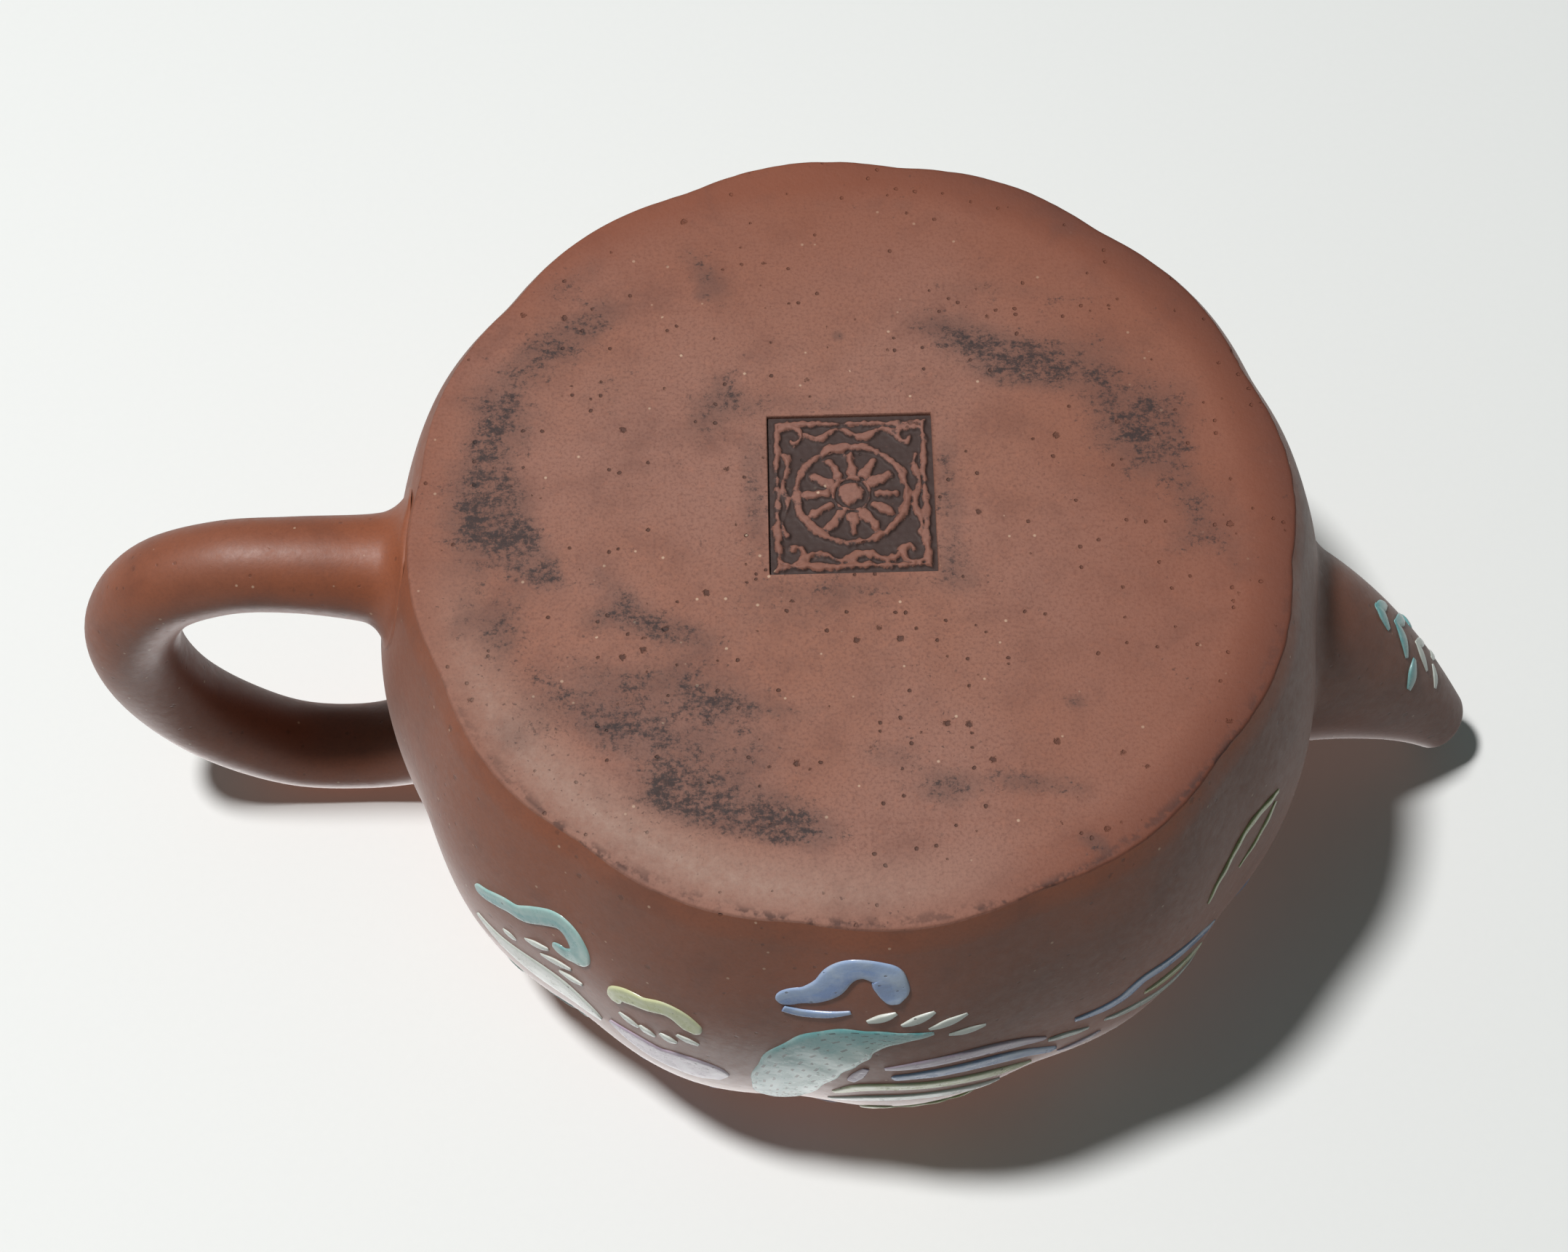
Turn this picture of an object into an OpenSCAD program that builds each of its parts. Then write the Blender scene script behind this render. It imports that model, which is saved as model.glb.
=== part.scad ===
// Lobed clay teapot with a lift-off lid.
// The pot stands upright on its flat base: +Z is up, the origin is on the body's
// axis in the plane of the base, the handle points along +X and the spout along -X.
// Millimetres.

/* [Lobes] */
// Number of lobes round the body, the mouth and the lid
lobes = 12; // [8:1:16]
// Angle of the first valley between two lobes, from +X
lobe_turn = 8; // [0:1:29]

/* [Body] */
// Mean width of the flat base
base_d = 101.6; // [98:0.2:105]
// Mean width of the body at its widest
belly_d = 112.4; // [110:0.2:116]
// Height of the widest point above the base
belly_h = 26; // [22:1:30]
// Height of the mouth's rim above the base
rim_h = 61; // [60.5:0.5:62]
// Thickness of the clay wall
wall_t = 3; // [2.6:0.1:3.4]
// Thickness of the base disc
base_t = 3.2; // [2.8:0.1:3.6]
// How far the lobes stand out of the valleys at the base edge
base_lobe = 0.8; // [0:0.1:1.2]
// How far the lobes stand out of the valleys on the wall
wall_lobe = 1; // [0:0.1:1.6]

/* [Mouth and lid] */
// Mean outer width of the collar round the mouth
collar_d = 72.6; // [71:0.2:74]
// How far the mouth's and the lid's lobes stand out
mouth_lobe = 1.8; // [0.5:0.1:2.2]
// Mean width of the hole in the collar
mouth_d = 66; // [65.6:0.1:66.4]
// Mean width of the lid plate
lid_d = 71; // [69:0.2:72]
// Gap between the lid plate and the rim
lid_gap = 0.3; // [0.2:0.05:0.5]
// Mean outer width of the flange under the lid
flange_d = 64.6; // [64:0.1:64.9]
// Thickness of the flange's wall
flange_t = 2.4; // [2:0.1:3]
// How far the flange reaches down into the mouth
flange_depth = 7.5; // [6:0.5:9]
// Width of the knob
knob_d = 17; // [15:0.5:19]
// Height of the knob
knob_h = 13; // [11:0.5:15]
// Width of the steam hole through the knob and the lid
steam_d = 2.5; // [1.5:0.1:3]

/* [Spout] */
// Half the spout's width where it leaves the wall
spout_root_w = 11.5; // [10:0.5:12.5]
// Half the spout's width at its lip
spout_tip_w = 4; // [3.6:0.1:4.4]
// Thickness of the clay at the spout's root
spout_t_root = 2.4; // [2:0.1:2.8]
// Thickness of the clay at the spout's lip
spout_t_tip = 1.2; // [1:0.1:1.4]
// Width of each straining hole in the wall behind the spout
strain_d = 3.2; // [2:0.2:4]

/* [Handle] */
// Half the thickness of the handle's rod
handle_r = 5.6; // [4.8:0.1:5.8]

/* [Base seal] */
// Width of the sunk seal panel along X
seal_x = 19; // [17:0.5:21]
// Length of the sunk seal panel along Y
seal_y = 21; // [19:0.5:23]
// Depth of the panel
seal_depth = 0.6; // [0.3:0.1:0.9]
// Distance of the panel's centre from the axis, towards -Y
seal_off = -3.5; // [-5:0.5:5]

/* [Enamel] */
// Height of the enamel strokes above the clay
enamel_h = 0.4; // [0.3:0.1:0.7]

/* [Hidden] */
seg = 6;                       // facets along each lobe
clay = "#96604b";
clay_dark = "#7d4c3a";
R0 = base_d / 2;
Rb = belly_d / 2;
sh_top = rim_h - 2.6;          // top of the shoulder, foot of the collar
sh_r = 38.5;                   // radius where the shoulder turns flat
wall_top = rim_h - 6;          // joint between the wall and the shoulder
wall_mid = belly_h - 3;        // joint between the two halves of the wall
lid_z = rim_h + lid_gap;

// ---- shared shapes ----------------------------------------------------------

// Share of a lobe's height at angle a: 0 in a valley, 1 on a crest.
function scallop(a) = abs(sin(lobes / 2 * a));

// One lobed ring of points: mean radius r, height z, lobe height amp.
function ring(r, z, amp, n) =
    [for (j = [0:n - 1]) let (a = j * 360 / n, q = r + amp * (scallop(a) - 0.64))
        [q * cos(a + lobe_turn), q * sin(a + lobe_turn), z]];

// A lobed solid swept round the axis. P is a list of [mean radius, height, lobe height]:
// from the underside's middle out and up to the top's middle, or, with loop = true,
// a closed outline that runs up on the outside and down on the inside.
module lobed(P, loop = false, per = seg) {
    n = lobes * per;
    m = len(P);
    pts = [for (p = P) each ring(p[0], p[1], p[2], n)];
    sides = [for (i = [0:loop ? m - 1 : m - 2], j = [0:n - 1])
        let (k = (i + 1) % m, h = (j + 1) % n)
        each [[i * n + j, k * n + h, i * n + h], [i * n + j, k * n + j, k * n + h]]];
    caps = loop ? [] : [[for (j = [0:n - 1]) j], [for (j = [n - 1:-1:0]) (m - 1) * n + j]];
    polyhedron(points = pts, faces = concat(sides, caps), convexity = 6);
}

// Mean outer radius of the body at height z.
function body_r(z) = z < belly_h
    ? Rb - (Rb - R0) * pow(1 - z / belly_h, 1.9)
    : sh_r + (Rb - sh_r) * pow(max(0, 1 - pow((z - belly_h) / (sh_top - belly_h), 2.4)), 1 / 2.4);

// Lobe height on the body at height z, growing a little towards the shoulder.
function body_amp(z) = base_lobe + (wall_lobe - base_lobe) * min(1, z / belly_h)
    + (z > belly_h ? 0.3 * (z - belly_h) / (sh_top - belly_h) : 0);

// Catmull-Rom curve through a list of points, k steps between neighbours.
function cr(p0, p1, p2, p3, t) = 0.5 * (2 * p1 + (p2 - p0) * t
    + (2 * p0 - 5 * p1 + 4 * p2 - p3) * t * t + (3 * p1 - p0 - 3 * p2 + p3) * t * t * t);
function curve(P, k) = [for (i = [0:len(P) - 2], s = [0:k - 1])
        cr(P[max(i - 1, 0)], P[i], P[i + 1], P[min(i + 2, len(P) - 1)], s / k),
    P[len(P) - 1]];

// Closed solid through rings of equal length; ring 0 and the last ring are capped,
// or joined to each other when loop = true.
module loft(rings, loop = false) {
    n = len(rings[0]);
    m = len(rings);
    sides = [for (i = [0:loop ? m - 1 : m - 2], j = [0:n - 1])
        let (k = (i + 1) % m, h = (j + 1) % n)
        each [[i * n + j, k * n + h, i * n + h], [i * n + j, k * n + j, k * n + h]]];
    caps = loop ? [] : [[for (j = [0:n - 1]) j], [for (j = [n - 1:-1:0]) (m - 1) * n + j]];
    polyhedron(points = [for (r = rings) each r], faces = concat(sides, caps), convexity = 6);
}

// ---- pot --------------------------------------------------------------------

// Flat lobed disc that closes the bottom, with the seal panel pressed into it.
module base_disc() color(clay) {
    difference() {
        lobed([[R0 - 1.1, 0, base_lobe], [R0 - 0.3, 0.4, base_lobe],
               [body_r(1.2), 1.2, body_amp(1.2)], [body_r(base_t), base_t, body_amp(base_t)]]);
        translate([-seal_x / 2, -seal_y / 2 - seal_off, -1]) cube([seal_x, seal_y, 1 + seal_depth]);
    }
    seal_relief();
}

// Raised pattern in the panel: a double frame, a ring, a boss and twelve petals.
module seal_relief() {
    translate([0, -seal_off, 0]) {
        linear_extrude(seal_depth + 0.2) difference() {
            square([seal_x - 1.6, seal_y - 1.6], center = true);
            square([seal_x - 3.4, seal_y - 3.4], center = true);
        }
        difference() {
            cylinder(r = 6.9, h = seal_depth + 0.2, $fn = 48);
            translate([0, 0, -1]) cylinder(r = 6.1, h = seal_depth + 2, $fn = 48);
        }
        for (i = [0:11]) rotate(i * 30) translate([2.6, -0.45, 0]) cube([2.9, 0.9, seal_depth + 0.2]);
        cylinder(r = 1.7, h = seal_depth + 0.2, $fn = 32);
        for (x = [-1, 1], y = [-1, 1]) translate([x * (seal_x / 2 - 2.7), y * (seal_y / 2 - 2.9), 0])
            cylinder(r = 0.9, h = seal_depth + 0.2, $fn = 24);
    }
}

// Ring of the side wall between two joints; outer and inner list the heights of its rings.
module wall_ring(outer, inner) {
    lobed(concat([for (z = outer) [body_r(z), z, body_amp(z)]],
                 [for (z = inner) [body_r(z) - wall_t, z, 0.4]]), loop = true);
}

// Lower half of the side wall, pressed on its own and luted to the upper half.
module lower_wall() color(clay)
    wall_ring([base_t, 6, 9, 12, 16, 20, wall_mid], [wall_mid, 17, 10, base_t]);

// Upper half of the side wall, with the straining holes behind the spout.
module upper_wall() color(clay) {
    difference() {
        wall_ring([wall_mid, 28, 34, 40, 45, 49, wall_top - 2, wall_top], [wall_top, 46, 34, wall_mid]);
        for (p = [[0, 0], for (i = [0:5]) [6.4 * cos(i * 60 + 30), 6.4 * sin(i * 60 + 30)]])
            translate([-(Rb + 6), p[0], 32.5 + p[1]]) rotate([0, 90, 0])
                cylinder(d = strain_d, h = 14, $fn = 32);
    }
}

// Shoulder that turns in from the wall to the foot of the collar.
module shoulder() color(clay) {
    arc = [wall_top, wall_top + 0.9, wall_top + 1.8, wall_top + 2.5, wall_top + 3, sh_top - 0.1];
    lobed(concat([for (z = arc) [body_r(z), z, body_amp(z)]],
                 [[sh_r, sh_top, body_amp(sh_top)],
                  [mouth_d / 2, sh_top, mouth_lobe - 0.3],
                  [mouth_d / 2, sh_top - wall_t + 0.2, mouth_lobe - 0.3],
                  [40, sh_top - wall_t, 0.6],
                  [body_r(wall_top) - wall_t, wall_top, 0.4]]), loop = true);
}

// Lobed collar round the mouth; the lid sits on its top.
module mouth_collar() color(clay) {
    lobed([[collar_d / 2 + 0.5, sh_top, mouth_lobe], [collar_d / 2, sh_top + 0.6, mouth_lobe],
           [collar_d / 2, rim_h - 0.7, mouth_lobe], [collar_d / 2 - 0.6, rim_h, mouth_lobe],
           [mouth_d / 2 + 0.5, rim_h, mouth_lobe - 0.3], [mouth_d / 2, rim_h - 0.5, mouth_lobe - 0.3],
           [mouth_d / 2, sh_top, mouth_lobe - 0.3]], loop = true);
}

// Lower and upper edge of the spout in the XZ plane, t from the root to the lip.
function bez(a, b, c, t) = (1 - t) * (1 - t) * a + 2 * t * (1 - t) * b + t * t * c;
function spout_low(t) = bez([-54, 14], [-67, 24], [-79, 51.4], t);
function spout_up(t) = bez([-50.9, 49.6], [-64, 51.2], [-73.4, 57.5], t);
function spout_w(t) = spout_tip_w + (spout_root_w - spout_tip_w) * pow(1 - t, 1.15);

// One elliptical section of the spout, drawn in by k all round.
function spout_ring(t, k, n) = let (l = spout_low(t), u = spout_up(t), c = (l + u) / 2,
        v = (u - l) / 2, h = norm(v), w = spout_w(t))
    [for (j = [0:n - 1]) let (a = j * 360 / n, q = (h - k) / h * sin(a))
        [c[0] + v[0] * q, (w - k) * cos(a), c[1] + v[1] * q]];

// Hollow spout with a wide root, rising to a small lip level with the rim.
module spout() color(clay) {
    n = 20;
    m = 9;
    outer = [for (i = [0:m]) spout_ring(i / m, 0, n)];
    inner = [for (i = [m:-1:0]) let (t = i / m) spout_ring(t, spout_t_root + (spout_t_tip - spout_t_root) * t, n)];
    loft(concat(outer, inner), loop = true);
}

// Handle rod: path in the XZ plane from the foot of the wall round to the shoulder.
handle_path = [[50.5, 9.8], [56.5, 8.8], [65, 7.7], [73, 8], [80.9, 11.8], [85.7, 19.8], [86.6, 29],
               [84.1, 39.3], [78.6, 48], [71.2, 54], [62.5, 55.2], [55, 53], [48.5, 48.6]];
handle_rod = [7.6, 6.3, 5.6, 5.5, 5.6, 5.7, 5.7, 5.6, 5.6, 5.5, 5.5, 5.9, 6.8];

module handle() color(clay_dark) {
    k = 2;
    n = 14;
    pts = curve(handle_path, k);
    rad = curve(handle_rod, k) * (handle_r / 5.6);
    rings = [for (i = [0:len(pts) - 1]) let (d = pts[min(i + 1, len(pts) - 1)] - pts[max(i - 1, 0)],
            t = d / norm(d))
        [for (j = [0:n - 1]) let (a = j * 360 / n)
            [pts[i][0] + rad[i] * sin(a) * t[1], rad[i] * cos(a), pts[i][1] - rad[i] * sin(a) * t[0]]]];
    difference() {
        loft(rings);
        // keeps the luted ends 1.2 mm deep in the wall and out of the tea
        rotate_extrude($fn = 96) polygon(concat([[0, -1]], [[R0 - 3, -1]],
            [for (z = [0, 4, 10, 18, 26, 34, 42, 48, 52, 54, 56, 57.4]) [body_r(z) - 1.6, z]], [[0, 57.4]]));
    }
}

// ---- lid --------------------------------------------------------------------

// Domed lid plate, lobed like the mouth.
module lid_plate() color(clay) {
    r = lid_d / 2;
    f = flange_d / 2 - flange_t;
    difference() {
        lobed([[2, lid_z + 6.1, 0], [12, lid_z + 5.5, 0.1], [22, lid_z + 3.5, 0.6], [f - 1.4, lid_z + 0.6, 1.3],
               [f, lid_z, mouth_lobe - 0.4], [r - 0.6, lid_z, mouth_lobe], [r, lid_z + 0.6, mouth_lobe],
               [r, lid_z + 2.2, mouth_lobe], [r - 0.7, lid_z + 3.1, mouth_lobe], [32, lid_z + 4.1, 1.6],
               [26.5, lid_z + 5.9, 1.3], [19, lid_z + 7.8, 0.9], [11, lid_z + 9.2, 0.4], [2, lid_z + 9.7, 0]]);
        translate([0, 0, lid_z]) cylinder(d = steam_d, h = 12, $fn = 32);
    }
}

// Lobed flange under the plate, which keys into the mouth.
module lid_flange() color(clay) {
    r = flange_d / 2;
    low = lid_z - flange_depth;
    lobed([[r - 0.7, low, mouth_lobe - 0.3], [r, low + 0.8, mouth_lobe - 0.3], [r, lid_z, mouth_lobe - 0.3],
           [r - flange_t, lid_z, mouth_lobe - 0.4], [r - flange_t, low + 0.8, mouth_lobe - 0.4],
           [r - flange_t + 0.6, low, mouth_lobe - 0.4]], loop = true);
}

// Lobed bud-shaped knob, pierced from top to bottom.
module lid_knob() color(clay) {
    r = knob_d / 2;
    z = lid_z + 9.55;
    difference() {
        lobed([[r * 0.66, z, 0.2], [r * 0.58, z + knob_h * 0.1, 0.25], [r * 0.64, z + knob_h * 0.2, 0.35],
               [r * 0.88, z + knob_h * 0.34, 0.6], [r, z + knob_h * 0.5, 0.8], [r * 0.99, z + knob_h * 0.66, 0.8],
               [r * 0.86, z + knob_h * 0.83, 0.7], [r * 0.56, z + knob_h * 0.95, 0.4], [r * 0.24, z + knob_h, 0.1]],
              per = 4);
        translate([0, 0, z - 2]) cylinder(d = steam_d, h = knob_h + 6, $fn = 32);
    }
}

// ---- enamel -----------------------------------------------------------------

// Slope of the body's profile, and a point on the body at angle a and height z,
// lifted by k along the surface's normal.
function slope(z) = (body_r(z + 0.1) - body_r(z - 0.1)) / 0.2;
function skin(a, z, k) = let (g = slope(z), l = norm([1, g]),
        r = body_r(z) + body_amp(z) * (scallop(a - lobe_turn) - 0.64) + k / l)
    [r * cos(a), r * sin(a), z - k * g / l];

// One raised stroke along a curve on the body. P lists [angle, height, half width];
// e is the number of facets across.
module stroke(P, k = 3, e = 4) {
    c = curve(P, k);
    n = len(c);
    loft([for (i = [0:n - 1]) let (p = c[i], d = c[min(i + 1, n - 1)] - c[max(i - 1, 0)],
            r = body_r(p[1]), u = r * PI / 180, g = norm([1, slope(p[1])]),
            t = [d[0] * u, d[1] * g] / norm([d[0] * u, d[1] * g]), w = max(p[2], 0.15),
            top = enamel_h * min(1, w / 0.6))
        [for (j = [0:e]) let (v = 1 - 2 * j / e)
            skin(p[0] - t[1] * w * v / u, p[1] + t[0] * w * v / g,
                 top * sqrt(max(0, 1 - pow(abs(v), 3))) - (abs(v) > 0.99 ? 0.35 : 0))]]);
}

// The same decoration stands on both sides of the pot.
module both_sides() {
    children();
    rotate(180) children();
}

// A small scroll of cloud: a wave that curls back at one end. s is its size, m = -1 mirrors it.
module scroll(a, z, s = 1, m = 1) {
    stroke([for (q = [[-8, 1.2, 0.3], [-5.6, -0.6, 1.0], [-3, 0, 1.1], [-0.6, -1.8, 1.2], [2.4, -2.6, 1.3],
                      [5, -0.8, 1.3], [4.6, 1.5, 1.1], [2.4, 1.9, 0.4]])
        [a + m * q[0] * s, z - q[1] * s, q[2] * s]], 2);
}

// Drops on the spout's flank. P lists [share of the way to the lip, angle round it, half width].
function spout_skin(t, a, k) = let (l = spout_low(t), u = spout_up(t), c = (l + u) / 2, v = (u - l) / 2,
        h = norm(v), w = spout_w(t), q = (h + k) / h * sin(a))
    [c[0] + v[0] * q, (w + k) * cos(a), c[1] + v[1] * q];
module drop(P) {
    for (m = [0, 1]) {
        c = curve(P, 2);
        n = len(c);
        rings = [for (i = [0:n - 1]) let (p = c[i], w = max(p[2], 0.15), d = c[min(i + 1, n - 1)] - c[max(i - 1, 0)],
                uw = spout_w(p[0]) * PI / 180, t = [d[0] * 34, d[1] * uw] / norm([d[0] * 34, d[1] * uw]),
                at = function(v, k) let (y = p[1] + t[0] * w * v / uw) spout_skin(p[0] - t[1] * w * v / 34, m == 0 ? y : 540 - y, k))
            [at(1, -0.3), at(0.5, 0.4 * min(1, w)), at(0, 0.5 * min(1, w)), at(-0.5, 0.4 * min(1, w)), at(-1, -0.3)]];
        loft(m == 0 ? rings : [for (r = rings) [for (j = [4:-1:0]) r[j]]]);
    }
}

module enamel_teal() color("#5f9ea0") {
    both_sides() {
        stroke([[321.2, 21, 0.5], [318.8, 19.9, 1.2], [316.2, 18.5, 1.4], [313.8, 17.9, 1.5], [311.4, 16, 1.6],
                [308.8, 14.4, 1.6], [306.6, 14.9, 1.7], [305.2, 17, 1.7], [305.4, 19, 1.5], [307.2, 20.2, 1.1],
                [309.2, 20, 0.4]], 2);
        stroke([[262.3, 17.9, 0.4], [265.5, 18.2, 1.1], [269, 18.8, 2.3], [272.5, 20.9, 4.4],
                [276.3, 25.7, 5.2], [278.4, 31, 5], [279.8, 37, 4.2], [280.4, 42, 3], [280.6, 45.5, 1.2]], 2, 6);
        scroll(316, 47, 1);
        scroll(238, 49.5, 0.9, -1);
    }
    drop([[0.36, 272, 0.3], [0.4, 266, 0.9], [0.44, 257, 0.4]]);
    drop([[0.48, 272, 0.3], [0.53, 260, 0.9], [0.56, 245, 0.4]]);
    drop([[0.61, 250, 0.4], [0.61, 235, 1], [0.61, 221, 0.5]]);
}

module enamel_blue() color("#7f9cc4") {
    both_sides() {
        stroke([[280.3, 12.6, 0.7], [278.5, 11.5, 1.3], [276.4, 10.8, 1.7], [274.6, 9.2, 1.9],
                [273.4, 7.2, 1.9], [272, 5.9, 1.8], [270.3, 5.5, 1.7], [268.6, 6, 1.9], [267.6, 6.8, 2.1],
                [267.1, 8.6, 2.1], [266.9, 10.4, 1.6], [266.8, 11.2, 1]], 2);
        stroke([[279.6, 13.9, 0.6], [277.4, 14.5, 0.7], [274.5, 14.2, 0.6], [271.8, 13.3, 0.3]], 2);
        stroke([[267, 29.3, 0.4], [263, 28.9, 1.2], [258.5, 29.4, 1.3], [254.5, 30.8, 1.3], [250.5, 33.5, 1.1],
                [246, 37.6, 0.4]], 2);
        stroke([[244.4, 28.2, 0.5], [240.6, 28.2, 1.1], [238, 27.4, 1.2], [235.6, 25.4, 1.2],
                [232.4, 25.8, 1.2], [229.8, 26.4, 1.1], [226.5, 27.8, 0.9], [222, 31.2, 0.3]], 2);
        scroll(296, 49.5, 0.9);
        scroll(215, 44, 1, -1);
    }
}

module enamel_yellow() color("#c9cc8c") {
    both_sides() {
        stroke([[299.9, 23.4, 0.6], [299.8, 21.4, 1.3], [298.2, 20.2, 1.6], [295.8, 19.8, 1.4],
                [293.5, 19, 1.5], [291.6, 19.6, 1.6], [290.2, 21.2, 1.5], [289.4, 22.4, 0.9]], 2);
        stroke([[210.2, 16, 0.4], [211.9, 15.6, 0.6], [215.4, 15.2, 0.7], [218.3, 15.9, 0.6], [221, 17.2, 0.6],
                [223.6, 18.5, 0.5], [225.2, 20.4, 0.25]], 2);
        stroke([[210.8, 17.5, 0.4], [212.9, 19.3, 0.5], [215.4, 21.2, 0.45], [218.3, 22.4, 0.3]], 2);
        stroke([[273.6, 36.6, 0.4], [270.6, 33.4, 1.2], [267, 32.5, 1.2], [262.5, 33, 1.2], [258.2, 34.3, 1.2],
                [253.5, 36.8, 1.1], [249, 39.7, 0.4]], 2);
        stroke([[234.8, 30.6, 0.4], [231.4, 31.2, 0.9], [227.3, 32.6, 0.9], [224, 34.6, 0.4]], 2);
        scroll(264, 46.5, 1);
    }
}

module enamel_white() color("#dfe3da") {
    both_sides() {
        // short dashes between the scrolls
        for (q = [[317, 26, 315, 26.4, 0.8], [313.4, 23.9, 309.9, 22.4, 0.7], [311.2, 25.4, 306.6, 23.8, 0.7],
                  [308.6, 27, 305, 25.8, 0.6], [299.6, 26.2, 297, 27.4, 0.7], [296.8, 26.6, 294.9, 28, 0.7],
                  [294.2, 26.2, 292.1, 27.2, 0.7], [292, 24.6, 289.4, 25.8, 0.6],
                  [269.9, 14.9, 266.6, 13.1, 0.7], [266, 15.6, 262.2, 13.5, 0.8],
                  [262.9, 16.9, 258.4, 15.2, 0.8], [260.6, 18.8, 256.2, 18.9, 0.7]])
            stroke([[q[0], q[1], 0.25], [(q[0] + q[2]) / 2, (q[1] + q[3]) / 2, q[4]], [q[2], q[3], 0.25]], 2);
        stroke([[322, 29.5, 0.5], [318, 31.4, 2.2], [313, 32.5, 3.6], [308.5, 33, 3.4], [304.6, 33.4, 2],
                [302.9, 33.8, 0.5]], 2, 6);
        stroke([[274.2, 40.8, 0.4], [269.5, 37.8, 1.1], [264.6, 37.4, 1.2], [259, 39.1, 1.2], [253, 42.5, 0.5]], 2);
        stroke([[247.4, 32.2, 0.4], [245.2, 32.6, 0.8], [242.2, 33.2, 0.4]], 2);
        stroke([[240.1, 32.5, 0.4], [236, 33.9, 1], [231.5, 36.2, 1], [227, 38, 0.8], [223.6, 38.6, 0.3]], 2);
    }
    drop([[0.62, 272, 0.3], [0.66, 262, 0.7], [0.7, 250, 0.3]]);
    drop([[0.74, 266, 0.3], [0.76, 254, 0.6], [0.77, 241, 0.3]]);
}

module enamel_mauve() color("#b9a3b4") {
    both_sides() {
        stroke([[301.4, 31.5, 0.5], [298.4, 32.8, 2.4], [294.8, 34.4, 3.4], [291.4, 34.6, 4.2],
                [288.6, 35, 3.8], [286.8, 35.8, 1.8]], 2, 6);
        stroke([[267.8, 26.4, 0.4], [264, 25.6, 1.1], [260, 25.2, 1.2], [256, 25.9, 1.2], [252, 28, 1],
                [248, 31, 0.4]], 2);
        stroke([[271.6, 30.6, 0.6], [270.8, 28.8, 0.8], [269.9, 26.6, 0.4]], 2);
        stroke([[245.3, 39.6, 0.4], [242.4, 38.6, 0.8], [240.2, 37, 0.4]], 2);
        scroll(278, 50.5, 0.8, -1);
    }
}

base_disc();
lower_wall();
upper_wall();
shoulder();
mouth_collar();
spout();
handle();
lid_plate();
lid_flange();
lid_knob();
enamel_teal();
enamel_blue();
enamel_yellow();
enamel_white();
enamel_mauve();
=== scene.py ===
"""The looks of the lobed clay teapot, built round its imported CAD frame."""

import math

import bpy
import numpy as np
from mathutils import Matrix


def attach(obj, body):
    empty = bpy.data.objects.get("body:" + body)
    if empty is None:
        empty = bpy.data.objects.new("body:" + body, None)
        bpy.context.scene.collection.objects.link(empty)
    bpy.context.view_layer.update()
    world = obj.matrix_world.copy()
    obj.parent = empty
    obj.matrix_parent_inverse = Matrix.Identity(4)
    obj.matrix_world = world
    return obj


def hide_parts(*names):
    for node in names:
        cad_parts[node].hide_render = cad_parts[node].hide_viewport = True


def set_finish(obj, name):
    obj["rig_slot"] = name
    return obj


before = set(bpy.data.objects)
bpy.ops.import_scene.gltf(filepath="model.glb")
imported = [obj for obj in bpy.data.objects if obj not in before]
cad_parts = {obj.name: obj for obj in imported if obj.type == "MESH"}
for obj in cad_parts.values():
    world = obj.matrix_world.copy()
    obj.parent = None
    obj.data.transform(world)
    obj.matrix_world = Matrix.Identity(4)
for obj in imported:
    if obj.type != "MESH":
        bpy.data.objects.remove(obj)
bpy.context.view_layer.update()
MM = 0.001

# ---- the shapes of part.scad, in millimetres ---------------------------------

LOBES, TURN = 12, 8.0
R0, RB, BELLY, RIM = 50.8, 56.2, 26.0, 61.0
WALL, BASE_T = 3.0, 3.2
BASE_LOBE, WALL_LOBE, MOUTH_LOBE = 0.8, 1.0, 1.8
COLLAR, MOUTH = 36.3, 33.0
SH_TOP, SH_R, WALL_TOP = RIM - 2.6, 38.5, RIM - 6.0
LID_Z = RIM + 0.3
LID_R, FLANGE_R, FLANGE_T, FLANGE_D = 35.5, 32.3, 2.4, 7.5
KNOB_R, KNOB_H, STEAM = 8.5, 13.0, 1.25
SEAL = (0.0, 3.5, 19.0, 21.0, 0.6)
ENAMEL_H = 0.36
N = 360


def scallop(a, soft=0.1):
    """0 in a valley and 1 on a crest, a in degrees; soft rounds the valley."""
    s = np.abs(np.sin(np.radians(LOBES / 2 * np.asarray(a, float))))
    return (np.sqrt(s * s + soft * soft) - soft) / (math.sqrt(1 + soft * soft) - soft)


def body_r(z):
    z = np.asarray(z, float)
    low = RB - (RB - R0) * np.power(np.clip(1 - z / BELLY, 0, None), 1.9)
    u = np.clip((z - BELLY) / (SH_TOP - BELLY), 0, 1)
    return np.where(z < BELLY, low, SH_R + (RB - SH_R) * np.power(np.clip(1 - u**2.4, 0, 1), 1 / 2.4))


def edge_r(z):
    """The wall draws in a little to the crisp edge of the base."""
    return float(body_r(z)) - 0.55 * max(0.0, 1 - z / 3.0) ** 1.5


def body_amp(z):
    z = np.asarray(z, float)
    up = np.clip((z - BELLY) / (SH_TOP - BELLY), 0, None)
    return BASE_LOBE + (WALL_LOBE - BASE_LOBE) * np.minimum(1, np.clip(z, 0, None) / BELLY) + 0.3 * up


def slope(z):
    return (body_r(np.asarray(z) + 0.1) - body_r(np.asarray(z) - 0.1)) / 0.2


def soft_at(z):
    """The valleys are crisp at the base's edge and soft on the wall."""
    return 0.1 + 0.28 * float(np.clip(z / 8, 0, 1)) * float(np.clip((57 - z) / 6, 0.2, 1))


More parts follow.
